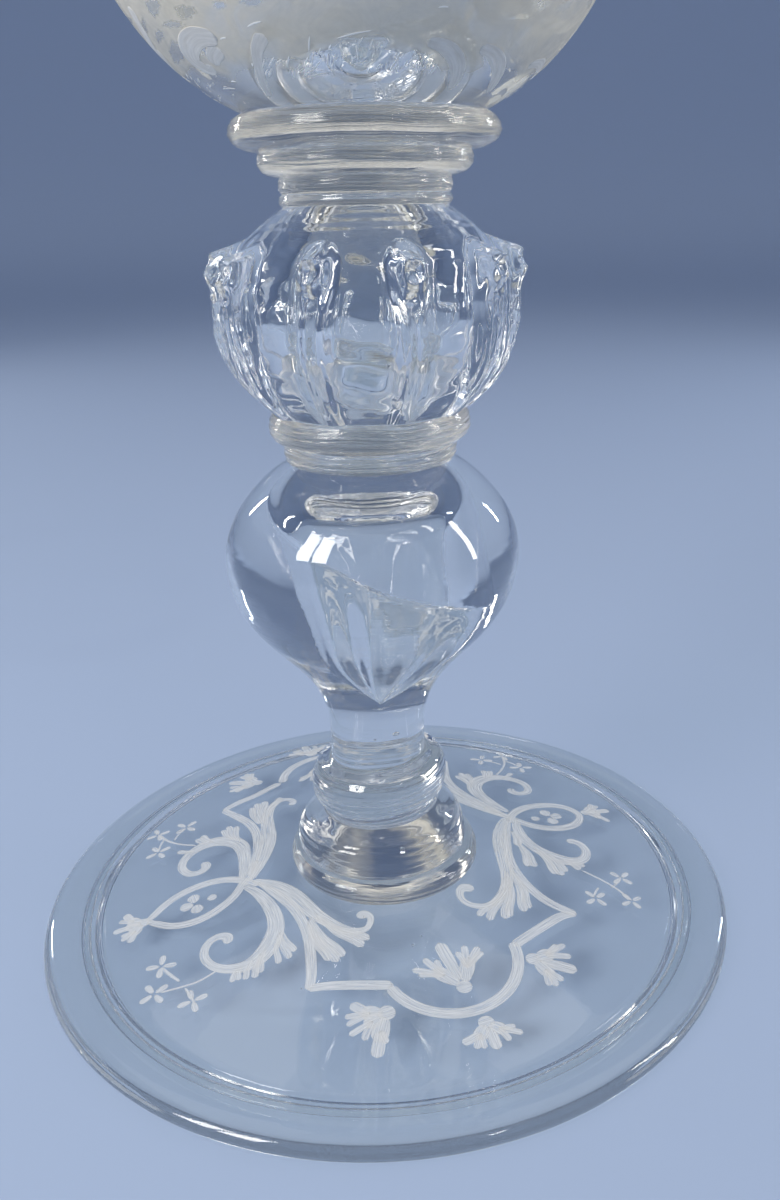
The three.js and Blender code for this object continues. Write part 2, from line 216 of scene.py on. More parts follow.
FRONT_RIGHT = {
    "strokes": [
        [(24.8, 0.4, 1.2), (22.6, 3.2, 2.2), (20.6, 6.6, 2.8), (19.3, 10.0, 3.0), (18.1, 13.6, 2.8),
         (16.8, 17.2, 2.4), (14.8, 20.6, 2.0), (12.0, 23.0, 1.7), (9.6, 23.7, 1.4), (7.4, 22.8, 1.2),
         (6.4, 21.1, 1.2), (6.8, 19.3, 1.4), (8.0, 18.6, 2.0), (9.4, 19.4, 1.6)],
        [(25.0, 1.2, 1.0), (22.4, 5.8, 1.5), (20.5, 9.6, 1.8), (19.2, 13.2, 1.8), (18.6, 17.0, 1.8),
         (18.8, 21.0, 1.8), (19.8, 24.8, 1.8), (21.5, 27.6, 1.7), (23.4, 29.7, 1.4)],
        [(23.5, 29.6, 1.2), (20.4, 29.5, 1.8), (15.2, 31.2, 1.8), (9.7, 33.2, 1.8)],
        [(26.6, 1.2, 1.0), (25.3, 4.4, 2.0), (24.8, 7.6, 2.3), (25.2, 10.6, 2.4), (26.4, 13.2, 2.5),
         (28.4, 15.7, 2.8), (30.6, 16.8, 2.4), (32.8, 16.3, 1.9), (34.3, 14.5, 1.7), (34.5, 12.3, 1.6),
         (33.6, 10.9, 1.6), (32.4, 10.7, 1.8)],
        [(30.4, 19.4, 0.4), (32.4, 22.6, 0.4), (33.8, 25.6, 0.45), (34.7, 29.2, 0.6)],
        [(33.0, 25.2, 0.35), (34.6, 24.4, 0.4), (36.4, 23.0, 0.4)],
        [(30.8, 24.6, 0.35), (29.8, 25.4, 0.4), (28.8, 26.4, 0.4)],
    ],
    "fingers": [
        ((16.6, 17.0), (8.6, 26.9), 1.5), ((15.0, 20.4), (7.3, 25.4), 1.3),
        ((17.0, 16.0), (11.3, 27.4), 1.6), ((17.2, 16.5), (12.2, 27.2), 1.4),
        ((17.8, 16.0), (15.2, 26.8), 1.6), ((18.2, 16.4), (16.4, 26.3), 1.4),
        ((23.8, 5.0), (22.8, 10.0), 1.6), ((23.0, 9.0), (21.6, 16.2), 1.5),
        ((23.2, 9.0), (22.7, 16.6), 1.5), ((25.2, 11.0), (25.4, 19.4), 1.5),
        ((25.8, 12.0), (26.4, 20.0), 1.6), ((26.8, 13.5), (27.6, 19.2), 1.4),
        ((28.6, 15.6), (30.4, 19.2), 1.5), ((29.4, 16.0), (31.6, 18.6), 1.3),
    ],
    "flowers": [((36.3, 23.2), 62, 2.3), ((28.8, 27.0), 70, 2.3), ((34.6, 29.3), 78, 2.2)],
    "palmettes": [
        ((11.5, 36.6, 2.4), [((15.2, 36.6, 2.5), [(16.7, 35.1, 1.1), (17.9, 35.4, 1.0), (17.6, 38.1, 1.1),
                                                  (14.2, 35.8, 1.4)]),
                             ((17.0, 41.0, 1.9), []),
                             ((12.9, 40.6, 2.5), [(11.3, 42.3, 1.1), (12.4, 42.8, 1.0), (13.9, 42.1, 1.0)])]),
    ],
}
BACK = {
    "strokes": [
        [(25.0, 0.2, 1.2), (22.6, 3.6, 2.2), (20.4, 7.4, 2.8), (18.9, 11.2, 3.0), (18.1, 15.2, 2.8),
         (17.2, 19.6, 2.4), (15.6, 23.2, 2.0), (13.4, 25.2, 1.6), (11.6, 24.8, 1.3), (10.9, 23.2, 1.3),
         (11.8, 21.9, 1.8)],
        [(25.0, 1.4, 1.0), (22.8, 6.0, 1.5), (21.2, 10.6, 1.8), (20.5, 15.0, 1.8), (20.8, 19.2, 1.8),
         (22.2, 23.6, 1.8), (24.2, 28.4, 1.5)],
        [(24.2, 28.2, 1.4), (20.6, 29.8, 1.8), (16.8, 30.9, 1.8), (10.8, 33.8, 1.8)],
        [(26.4, 1.6, 1.0), (25.2, 4.6, 2.0), (24.2, 8.6, 2.6), (24.2, 12.4, 3.0), (25.8, 15.4, 3.3),
         (28.6, 16.9, 3.1), (31.6, 16.4, 2.4), (34.2, 14.4, 1.8), (35.3, 11.6, 1.6), (34.4, 8.9, 1.6),
         (32.4, 8.3, 1.6), (31.2, 9.5, 1.8), (31.6, 11.0, 1.4)],
        [(31.6, 17.8, 0.4), (34.0, 20.0, 0.45), (36.0, 22.8, 0.5), (37.4, 26.6, 0.6)],
        [(36.6, 24.0, 0.4), (37.6, 22.2, 0.4), (38.4, 20.0, 0.4)],
        [(35.0, 22.4, 0.4), (33.8, 24.2, 0.4), (32.2, 25.6, 0.4)],
    ],
    "fingers": [
        ((17.4, 19.0), (12.8, 26.8), 1.5), ((18.2, 17.0), (16.0, 27.0), 1.6),
        ((18.8, 17.6), (17.6, 27.0), 1.5), ((19.2, 17.8), (19.0, 25.8), 1.4),
        ((24.0, 13.6), (23.4, 20.0), 1.3), ((24.4, 14.4), (24.7, 21.0), 1.3),
        ((24.9, 15.0), (26.0, 20.2), 1.2), ((28.4, 16.8), (30.0, 20.6), 1.4),
        ((29.4, 16.8), (31.2, 20.0), 1.3), ((32.2, 16.0), (35.2, 17.6), 1.3),
    ],
    "flowers": [((38.4, 19.8), 75, 2.5), ((32.0, 26.0), 60, 2.5), ((37.4, 26.4), 86, 2.3)],
    "palmettes": [
        ((15.2, 36.8, 2.3), [((18.8, 36.4, 2.4), [(20.2, 35.0, 1.0), (21.3, 36.0, 1.0), (20.8, 38.0, 1.0)]),
                             ((20.4, 40.4, 1.8), []),
                             ((16.4, 40.4, 2.4), [(15.0, 42.2, 1.0), (16.2, 42.8, 1.0), (17.6, 42.0, 1.0)])]),
    ],
}
# Over each side axis: an eye-shaped loop whose ends run on into the quarters, a flower in it and a palmette
LEFT_LOOP = [
    [(24.2, 2.0, 1.2), (25.4, 0.2, 1.6), (27.6, -2.2, 1.7), (30.6, -3.7, 1.75), (34.0, -4.1, 1.75),
     (37.2, -3.6, 1.7), (40.0, -2.2, 1.6), (42.3, -0.4, 1.4), (43.4, 0.3, 0.8)],
    [(22.6, -5.4, 2.4), (24.2, -2.4, 2.0), (26.6, 0.1, 1.7), (28.4, 2.2, 1.7), (31.0, 3.9, 1.75),
     (34.2, 5.0, 1.75), (37.2, 5.0, 1.7), (40.0, 3.9, 1.6), (42.2, 1.8, 1.4), (43.3, 0.4, 0.8)],
]
RIGHT_LOOP = [
    [(24.6, 2.4, 1.2), (26.0, 0.2, 1.6), (28.2, -1.6, 1.8), (31.0, -2.6, 1.9), (34.2, -2.7, 1.9),
     (37.0, -1.9, 1.8), (39.0, -0.2, 1.6), (39.8, 2.0, 1.5), (39.0, 4.0, 1.6), (37.0, 5.6, 1.8),
     (34.0, 6.2, 1.9), (31.0, 5.6, 1.9), (28.2, 3.8, 1.8), (26.2, 1.2, 1.7), (24.2, -1.8, 2.0),
     (22.6, -4.6, 2.4)],
]
LEFT_FLOWER = (35.1, 0.5)
RIGHT_FLOWER = (33.4, 1.9)
LEFT_TIP = ((44.0, 0.4, 2.2), [((46.4, -1.5, 2.0), [(46.5, -3.6, 1.2), (47.8, -2.2, 0.9)]),
                               ((47.2, 0.3, 1.8), [(49.1, 0.2, 1.1)]),
                               ((46.4, 2.6, 2.0), [(46.9, 4.3, 1.2), (48.1, 3.1, 0.8), (48.0, 1.9, 0.8)])])
RIGHT_TIP = ((41.6, 1.9, 2.0), [((43.8, 0.6, 2.0), [(44.4, -0.8, 1.2), (45.4, 0.2, 0.9)]),
                                ((44.8, 2.2, 2.2), [(46.7, 2.4, 1.3)]),
                                ((44.0, 3.9, 2.0), [(44.5, 6.2, 0.9), (43.0, 4.7, 1.1)])])
# On the front axis: a fan inside the arc that opens to the stem, and one beyond the arc that opens outwards
INNER_FAN = ((1.1, 38.0, 2.5), [((1.3, 28.6, 2.0), []),
                                ((-2.0, 33.0, 2.2), [(-4.4, 31.5, 1.0), (-4.6, 32.7, 0.9), (-2.3, 30.5, 1.0),
                                                     (-0.6, 31.3, 0.9)]),
                                ((4.2, 33.2, 2.3), [(7.3, 32.1, 1.0), (6.8, 33.4, 0.9), (4.8, 30.7, 1.0),
                                                    (3.0, 31.6, 0.9)])])
OUTER_FAN = ((0.8, 45.2, 2.5), [((1.2, 50.0, 1.7), []),
                                ((-1.2, 47.6, 2.1), [(-3.0, 47.2, 0.9), (-3.5, 48.7, 0.9),
                                                     (-1.1, 49.3, 0.9)]),
                                ((3.2, 47.5, 2.1), [(5.6, 47.2, 1.2), (4.1, 48.8, 1.0), (2.9, 49.2, 0.9)])])

BOXES = {node: [np.array(corner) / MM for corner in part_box(node)] for node in ORDER}


def levels(node):
    """Lower and upper level of a node of the frame."""
    low, high = BOXES[node]
    return low[2], high[2]


def reach(node):
    """Half the width of a node of the frame."""
    low, high = BOXES[node]
    return (high[0] - low[0]) / 2


def below(node):
    """Radius of the joint under a node."""
    return JOINTS[ORDER[ORDER.index(node) - 1]]


def seats(node):
    """Lower and upper level of a node between two joints, half its width, and the joints' radii."""
    return (*levels(node), reach(node), below(node), JOINTS[node])


def bend(start, leave, arrive, end, steps=CURVE_STEPS):
    """Cubic curve: (1-t)^3 start + 3(1-t)^2 t leave + 3(1-t) t^2 arrive + t^3 end, at even steps of t."""
    t = np.linspace(0, 1, steps + 1)[:, None]
    start, leave, arrive, end = (np.asarray(p, float) for p in (start, leave, arrive, end))
    return (1 - t) ** 3 * start + 3 * (1 - t) ** 2 * t * leave + 3 * (1 - t) * t ** 2 * arrive + t ** 3 * end


def arc(centre, wide, high, start, end, steps=EDGE_STEPS):
    """Part of an ellipse: centre + (wide cos a, high sin a), with a from start to end in degrees."""
    a = np.radians(np.linspace(start, end, steps + 1))
    return np.column_stack([centre[0] + wide * np.cos(a), centre[1] + high * np.sin(a)])


def straight(start, end, steps=8):
    """Even points on the line from start to end."""
    t = np.linspace(0, 1, steps + 1)[:, None]
    return np.asarray(start, float) * (1 - t) + np.asarray(end, float) * t


def joined(*stretches):
    """The stretches one after the other, without the points that repeat."""
    line = np.vstack([np.atleast_2d(np.asarray(s, float)) for s in stretches])
    step = np.hypot(*(np.diff(line, axis=0).T))
    return line[np.concatenate([[True], step > 1e-6])]


def smooth(x, low, high):
    """0 below low, 1 above high, and 3t^2 - 2t^3 between them."""
    t = np.clip((x - low) / (high - low), 0, 1)
    return t * t * (3 - 2 * t)


def settle(points):
    """The hand's irregularities: a sideways shift by level, and a tilt of the stem ring."""
    x, y, z = np.moveaxis(np.asarray(points, float), -1, 0)
    knots, shift = np.array(LEAN, float).T
    steps = np.arange(knots[-1] + 1)
    padded = np.pad(np.interp(steps, knots, shift), LEAN_EASE // 2, mode="edge")
    eased = np.convolve(padded, np.ones(LEAN_EASE) / LEAN_EASE, mode="valid")
    tilt = RING_TILT * np.exp(-((z - RING_LEVEL) / RING_REACH * 1.6) ** 4)
    return np.stack([x + np.interp(z, steps, eased), y, z + tilt * x], axis=-1)


def waver(angle, level, size, seed):
    """A slow ripple round a piece: three waves of 2, 3 and 5 turns whose phases drift with the level."""
    phase = 1.7 * seed
    return size * (
        0.5 * np.sin(2 * angle + phase + 0.09 * level)
        + 0.3 * np.sin(3 * angle - 2 * phase - 0.13 * level)
        + 0.2 * np.sin(5 * angle + 3 * phase + 0.21 * level)
    )


def revolve(outline, steps=TURN_STEPS, swell=None):
    """The outline turned about Z: (r cos a, r sin a, z), with r + swell(a, r, z) where a swell is given.
    Angle 0 is towards -Y and grows towards +X."""
    angle = np.arange(steps) * TURN / steps
    radius = np.repeat(outline[:, :1], steps, axis=1)
    level = np.repeat(outline[:, 1:], steps, axis=1)
    angle = np.broadcast_to(angle, radius.shape)
    if swell is not None:
        radius = radius + swell(angle, radius, level) * (radius > 1e-6)
    return np.stack([radius * np.sin(angle), -radius * np.cos(angle), level], axis=-1)


def ring_quads(rows, steps, first=0):
    """Quads between neighbouring rows of a grid that closes on itself; its points start at first."""
    ring = np.arange(steps)
    after = (ring + 1) % steps
    base = first + np.arange(rows - 1)[:, None] * steps
    return np.stack([base + ring, base + after, base + steps + after, base + steps + ring], -1).reshape(-1, 4)


def shell(grid):
    """Vertices and faces of a turned grid whose first and last rows are single points on the axis."""
    rows, steps = grid.shape[:2]
    points = np.vstack([grid[0, :1], grid[1:-1].reshape(-1, 3), grid[-1, :1]])
    ring = np.arange(steps)
    after = (ring + 1) % steps
    top = 1 + (rows - 3) * steps
    first = np.column_stack([np.zeros(steps, int), after + 1, ring + 1])
    last = np.column_stack([np.full(steps, len(points) - 1), top + ring, top + after])
    return points, ring_quads(rows - 2, steps, 1), np.vstack([first, last])


def write_mesh(name, parts, materials, place=None):
    """One object from several parts, each a tuple of points, quads and triangles in millimetres."""
    points, faces, offset = [], [], 0
    for own, quads, triangles in parts:
        points.append(own)
        faces += (quads + offset).tolist() + (triangles + offset).tolist()
        offset += len(own)
    where = np.vstack(points)
    where = where if place is None else place(where)
    mesh = bpy.data.meshes.new(name)
    mesh.from_pydata((where * MM).tolist(), [], faces)
    mesh.polygons.foreach_set("use_smooth", [True] * len(mesh.polygons))
    for material in materials:
        mesh.materials.append(material)
    mesh.update()
    piece = bpy.data.objects.new(name, mesh)
    bpy.context.scene.collection.objects.link(piece)
    return piece


def joint_discs(parts, node):
    """Which faces are the flat joint discs of a piece: their corners all lie at its lower or upper level."""
    low, high = levels(node)
    flags = []
    for points, quads, triangles in parts:
        for faces in (quads, triangles):
            corners = points[:, 2][faces]
            under = (np.abs(corners - low) < TINY).all(axis=1) & (node != "foot")
            over = (np.abs(corners - high) < TINY).all(axis=1) & (node != "bowl")
            flags.append(under | over)
    return np.concatenate(flags)


def open_joints(piece, disc):
    """Gives the joint discs the second material, and keeps their edges crisp."""
    mesh = piece.data
    mesh.polygons.foreach_set("material_index", disc.astype(np.int32))
    loops = np.zeros(len(mesh.loops), np.int32)
    mesh.loops.foreach_get("edge_index", loops)
    sizes = np.zeros(len(mesh.polygons), np.int32)
    mesh.polygons.foreach_get("loop_total", sizes)
    of_loop = np.repeat(disc, sizes)
    open_side = np.bincount(loops[of_loop], minlength=len(mesh.edges)) > 0
    glass_side = np.bincount(loops[~of_loop], minlength=len(mesh.edges)) > 0
    crisp = mesh.attributes.new("sharp_edge", "BOOLEAN", "EDGE")
    crisp.data.foreach_set("value", open_side & glass_side)
    mesh.update()


# Outlines of the pieces, from the axis below to the axis above
def collar_edge(node):
    """A round edge of two quarter ellipses that meet where the collar is widest."""
    low, high, radius, lower, upper = seats(node)
    waist = WAISTS[node]
    return joined(
        arc((lower, low + waist), radius - lower, waist, -90, 0, CURVE_STEPS),
        arc((upper, low + waist), radius - upper, high - low - waist, 0, 90, CURVE_STEPS),
    )


def capped(edge):
    """The edge with a flat disc under its start and one over its end, down to the axis."""
    start, end = edge[0], edge[-1]
    return joined(straight((0, start[1]), start, 3), edge, straight(end, (0, end[1]), 3))


def foot_top(radius):
    """Level of the foot's upper face: a slightly bowed cone from the seat under the stem to the fold."""
    inner, fold = JOINTS["foot"], reach("foot") - FOLD_WIDTH
    share = np.clip((fold - np.asarray(radius, float)) / (fold - inner), 0, 1)
    return RIM_HEIGHT + (levels("foot")[1] - RIM_HEIGHT) * share ** CONE_BOW


def pontil_edge():
    """The shallow dome under the middle of the foot, from near the axis outwards."""
    ceiling = levels("foot")[1] - FOOT_WALL
    top = ceiling + PONTIL_DEPTH
    return bend((PONTIL_RADIUS * 0.5, top), (PONTIL_RADIUS * 0.9, top), (PONTIL_RADIUS * 0.8, ceiling),
                (PONTIL_RADIUS + 1, ceiling), 8)


def foot_outline():
    """The foot: raised underside, resting ring, rounded rim and the cone on top."""
    radius, seat = reach("foot"), levels("foot")[1]
    fold, rest_out, half = radius - FOLD_WIDTH, radius - REST_INSET, RIM_HEIGHT / 2
    ceiling, under = seat - FOOT_WALL, RIM_HEIGHT - FOOT_WALL
    cone = np.linspace(fold - 1.5, JOINTS["foot"], 30)
    return joined(
        (0, ceiling + PONTIL_DEPTH),
        pontil_edge(),
        bend((PONTIL_RADIUS + 1, ceiling), (JOINTS["foot"] + 4, ceiling), (fold - 12, under + 1.2),
             (fold, under)),
        arc((fold + half / 2, half / 2), half / 2, half / 2, 180, 240, 6),
        (rest_out - REST_WIDTH, 0),
        (rest_out, 0),
        arc((rest_out, half), REST_INSET, half, -60, 90),
        bend((rest_out, RIM_HEIGHT), (fold + 4, RIM_HEIGHT + 0.02), (fold + 1.5, RIM_HEIGHT - 0.05),
             (fold - 1.5, foot_top(fold - 1.5)), 10),
        np.column_stack([cone, foot_top(cone)]),
        straight((JOINTS["foot"], seat), (0, seat), 3),
    )


def stem_base_edge():
    """A bell: a small round step that rises steeply and draws in to a round shoulder."""
    low, high, radius, lower, upper = seats("stem_base")
    return joined(
        bend((lower, low), (lower + 0.4, low), (radius, low + BASE_EDGE * 0.5), (radius, low + BASE_EDGE), 8),
        bend((radius, low + BASE_EDGE), (radius, high - BASE_SHOULDER),
             (upper + BASE_SHOULDER, high - BASE_SHOULDER / 2), (upper, high)),
    )


def stem_ring_edge():
    """A cushion with an undercut lip, a straight wall and a drawn-in top."""
    low, high, radius, lower, upper = seats("stem_ring")
    wall, dip, neck = low + RING_LIP + RING_WALL, low + RING_LIP * 0.45, high - RING_NECK
    lip = (radius - RING_UNDERCUT * 0.6, low + RING_LIP)
    return joined(
        bend((lower, low), (lower - RING_UNDERCUT * 1.6, dip), (radius - RING_UNDERCUT * 2.4, dip), lip, 14),
        bend(lip, (radius, low + RING_LIP + RING_WALL * 0.4), (radius, wall - RING_WALL * 0.3),
             (radius, wall), 10),
        bend((radius, wall), (radius - RING_UNDERCUT, neck), (upper + RING_NECK, neck), (upper, high)),
    )


def baluster_edge():
    """A straight neck that flares into the round head, and a quick round shoulder."""
    low, high, radius, lower, upper = seats("baluster")
    widest, waist = (radius, low + BALUSTER_WIDEST), (lower, low + WAIST_LENGTH)
    return joined(
        straight((lower, low), waist, 4),
        bend(waist, (lower, low + WAIST_LENGTH + WAIST_FLARE), (radius, widest[1] - WAIST_FLARE), widest, 60),
        bend(widest, (radius, widest[1] + SHOULDER_DROP), (upper + SHOULDER_DROP, high - SHOULDER_DROP / 2),
             (upper, high), 40),
    )


def tear_outline():
    """The tear of air: a flat top, a round shoulder and a long slope down to its tip."""
    low = levels("baluster")[0]
    widest, edge = (TEAR_RADIUS, low + TEAR_WIDEST), (TEAR_RADIUS - 0.9, low + TEAR_EDGE)
    top, tip = low + TEAR_TOP, low + TEAR_TIP
    return joined(
        straight((0, top), (TEAR_TOP_RADIUS - 1, top), 3),
        bend((TEAR_TOP_RADIUS - 1, top), (TEAR_RADIUS - 1, top), (TEAR_RADIUS, top - 2.5), widest, 20),
        bend(widest, (TEAR_RADIUS + 0.1, widest[1] - 2), (TEAR_RADIUS, edge[1] + 2), edge, 14),
        bend(edge, (TEAR_RADIUS - 4.2, edge[1] - 5), (TEAR_RADIUS / 4, tip + 6), (0, tip), 40),
    )


def knop_edge():
    """The wall of the knop between its ribs, up to the shoulder and in to the neck."""
    low, high, _, lower, upper = seats("ribbed_knop")
    widest, level = (KNOP_RADIUS, low + KNOP_WIDEST), low + KNOP_SHOULDER
    shoulder = (KNOP_SHOULDER_RADIUS, level)
    return joined(
        bend((lower, low), (KNOP_RADIUS, low + KNOP_WIDEST / 3), (KNOP_RADIUS, low + KNOP_WIDEST * 2 / 3),
             widest, 50),
        bend(widest, (KNOP_RADIUS, (widest[1] + level) / 2),
             (KNOP_SHOULDER_RADIUS + KNOP_ROUND, level - KNOP_ROUND), shoulder, 50),
        bend(shoulder, (KNOP_SHOULDER_RADIUS - 1.5, level + 1.5), (upper + 2.2, high - 1.4),
             (upper, high), 20),
    )


def knop_swell(angle, radius, level):
    """Ribs: exp(-|u / half|^2.6) of the way u across each one, in mm, with wrinkles along it.
    A groove runs down the middle of each rib, closed at the top by a thicker, rounded nub with small pits.
    The bare wall between the ribs has a slow ripple, and the neck above them fine turned rings."""
    low, high = levels("ribbed_knop")
    up = level - low
    phase = RIB_COUNT * (angle - RIB_ANGLE)
    number = np.round(phase / TURN)
    lean = np.sin(2.4 * number + 0.6)
    bow = 0.45 * np.sin(2.4 * number + 0.6 + up / 6)
    u = (phase / TURN - number) * TURN / RIB_COUNT * KNOP_RADIUS - bow
    v = up - RIB_TOP + NUB_LENGTH
    crest = np.exp(-(np.abs(u) / RIB_HALF) ** 2.6)
    rise = RIB_LOW_SHARE + (1 - RIB_LOW_SHARE) * smooth(up, 0, KNOP_WIDEST)
    top = 1 - smooth(v + 0.3 * lean + 0.09 * u ** 2, 0, NUB_DROP)
    nub = NUB_DEPTH * np.exp(-((v + NUB_LOW) / NUB_SPREAD) ** 2)
    wrinkles = 0.17 * np.sin(5.2 * u + 1.5 * np.sin(up / 2.6 + number))
    wrinkles = wrinkles + 0.10 * np.sin(2.9 * u - 0.5 * up + lean)
    groove = GROOVE_DEPTH * np.exp(-((u - 0.25 * lean) / GROOVE_HALF) ** 2)
    groove = groove * smooth(-v, -0.2, 1.6) * smooth(up, 3, 12)
    ribs = crest * top * rise * (RIB_DEPTH + nub - 0.15 - groove + wrinkles * smooth(up, 1, 6))
    pits = 0
    for across, drop, size in PITS:
        off = np.hypot(u - across * lean, (v + drop + 0.4 * lean) / 1.15) / size
        lip, hole = np.exp(-((off - 1.25) / 0.42) ** 2), np.exp(-(off / 0.72) ** 2)
        pits = pits + size * (PIT_LIP * lip - PIT_DEPTH * hole)
    window = smooth(up, 0, 4) * (1 - smooth(up, KNOP_SHOULDER - 0.5, KNOP_SHOULDER + 3))
    ripple = 0.07 * np.sin(23 * angle - 0.6 * up) + 0.06 * np.sin(1.9 * up + 4 * np.sin(3 * angle))
    neck = smooth(up, KNOP_SHOULDER, KNOP_SHOULDER + 1.5) * (1 - smooth(level, high - 1, high))
    rings = 0.05 * np.sin(TURN * up / NECK_PITCH) * neck
    return ribs + rings + (pits * crest + ripple * (1 - 0.6 * crest)) * window


def cavity_outline():
    """The knop's cavity: a half ellipse with a bell over it."""
    low = levels("ribbed_knop")[0]
    widest, top = low + CAVITY_WIDEST, low + CAVITY_TOP
    return joined(
        bend((0, top), (CAVITY_RADIUS * 0.2, top - 0.6), (CAVITY_RADIUS * 0.95, top - 7),
             (CAVITY_RADIUS, widest), 40),
        arc((0, widest), CAVITY_RADIUS, CAVITY_WIDEST - CAVITY_FLOOR, 0, -90, 20),
    )


def neck_ring_edge():
    """Two beads with a groove between them."""
    low, high, radius, lower, upper = seats("neck_ring")
    groove, half = low + BEADS_LEVEL, BEADS_LEVEL / 2
    rest = (high - groove) / 2
    return joined(
        arc((lower, low + half), radius - lower, half, -90, 0),
        arc((BEADS_RADIUS, low + half), radius - BEADS_RADIUS, half, 0, 90),
        arc((BEADS_RADIUS, groove + rest), radius - BEADS_RADIUS, rest, -90, 0),
        arc((upper, groove + rest), radius - upper, rest, 0, 90),
    )


def bowl_outer():
    """Outer face of the bowl, from its joint to the middle of its lip."""
    low, high = levels("bowl")
    joint, rim, lip = below("bowl"), reach("bowl"), RIM_WALL / 2
    belly = (BELLY_RADIUS, low + BELLY_LEVEL)
    return joined(
        bend((joint, low), (joint + BASE_SPREAD, low + BASE_THICKNESS),
             (BELLY_RADIUS - BELLY_LEAN, belly[1] - BELLY_PULL), belly, 60),
        bend(belly, (BELLY_RADIUS + WALL_LEAN, belly[1] + WALL_PULL), (rim - RIM_LEAN, high - RIM_PULL),
             (rim, high - lip), 60),
    )


def bowl_outline():
    """The whole wall: joint, outer face, round lip and inner face down to the thick base."""
    low, high = levels("bowl")
    joint, rim, lip = below("bowl"), reach("bowl"), RIM_WALL / 2
    inner = (BELLY_RADIUS - BELLY_WALL, low + BELLY_LEVEL + BELLY_WALL)
    return joined(
        straight((0, low), (joint, low), 3),
        bowl_outer(),
        arc((rim - lip, high - lip), lip, lip, 0, 180, 10),
        bend((rim - RIM_WALL, high - lip), (rim - RIM_LEAN - RIM_WALL, high - RIM_PULL),
             (inner[0] + WALL_LEAN, low + BELLY_LEVEL + WALL_PULL), inner, 50),
        bend(inner, (inner[0] - BELLY_LEAN, inner[1] - BELLY_PULL), (joint, low + BASE_THICKNESS),
             (0, low + BASE_THICKNESS), 60),
    )


# Engraved strokes
STROKE_RISE = 0.015
STROKE_SINK = 0.03
STROKE_LIFT = 0.014
ORDER_LIFT = 0.0015
ORDERS = 9
UV_SCALE = 0.1
STROKE_STEPS = 7
CROSS_STEPS = 8
PETAL_SHARE = 0.44


def through(points, steps=STROKE_STEPS):
    """A smooth curve through the points: cubics whose slope at a point is that between its neighbours."""
    p = np.asarray(points, float)
    p = np.vstack([2 * p[0] - p[1], p, 2 * p[-1] - p[-2]])
    a, b, c, d = (p[i:len(p) - 3 + i, None] for i in range(4))
    t = (np.arange(steps) / steps)[None, :, None]
    square, cube = 2 * a - 5 * b + 4 * c - d, 3 * b - a - 3 * c + d
    curve = 0.5 * (2 * b + (c - a) * t + square * t ** 2 + cube * t ** 3)
    return np.vstack([curve.reshape(-1, p.shape[1]), p[-2]])


def ribbon(line, widths, facing, order=0):
    """A thin closed strip along a line on a surface: line + side * v * width / 2 for v from -1 to 1,
    with round ends, a low round top and a flat underside. facing gives the surface's outward directions.
    Its own coordinates are millimetres along and across."""
    step = np.linalg.norm(np.diff(line, axis=0), axis=1)
    along = np.concatenate([[0], np.cumsum(step)])
    half = np.asarray(widths, float) / 2
    for ends in (along, along[-1] - along):
        start = max(half[np.argmin(ends)], TINY)
        half = half * np.sqrt(np.clip(1 - np.clip(1 - ends / start, 0, 1) ** 2, 0.02, 1))
    side = np.cross(np.gradient(line, axis=0), facing)
    side /= np.linalg.norm(side, axis=1, keepdims=True)
    v = np.sin(np.linspace(-1, 1, CROSS_STEPS + 1) * math.pi / 2)
    low_v = v[-2:0:-3]
    top = STROKE_RISE * (1 - v ** 2) + ORDER_LIFT * order + STROKE_LIFT
    line, side, facing, half = (part[:, None] for part in (line, side, facing, half))
    upper = line + side * (half * v)[..., None] + facing * top[None, :, None]
    lower = line + side * (half * low_v)[..., None] - facing * STROKE_SINK
    rows = np.concatenate([upper, lower], axis=1)
    count, around = rows.shape[:2]
    ring = np.arange(around)
    after = (ring + 1) % around
    middle = count * around
    first = np.column_stack([np.full(around, middle), after, ring])
    last = np.column_stack([np.full(around, middle + 1), middle - around + ring, middle - around + after])
    points = np.vstack([rows.reshape(-1, 3), rows[0].mean(0), rows[-1].mean(0)])
    own = np.stack([np.repeat(along[:, None], around, 1), half * np.concatenate([v, low_v])], -1)
    own = np.vstack([own.reshape(-1, 2), [along[0], 0], [along[-1], 0]]) + [17.0 * order, 5.0 * order]
    return points, ring_quads(count, around), np.vstack([first, last]), own


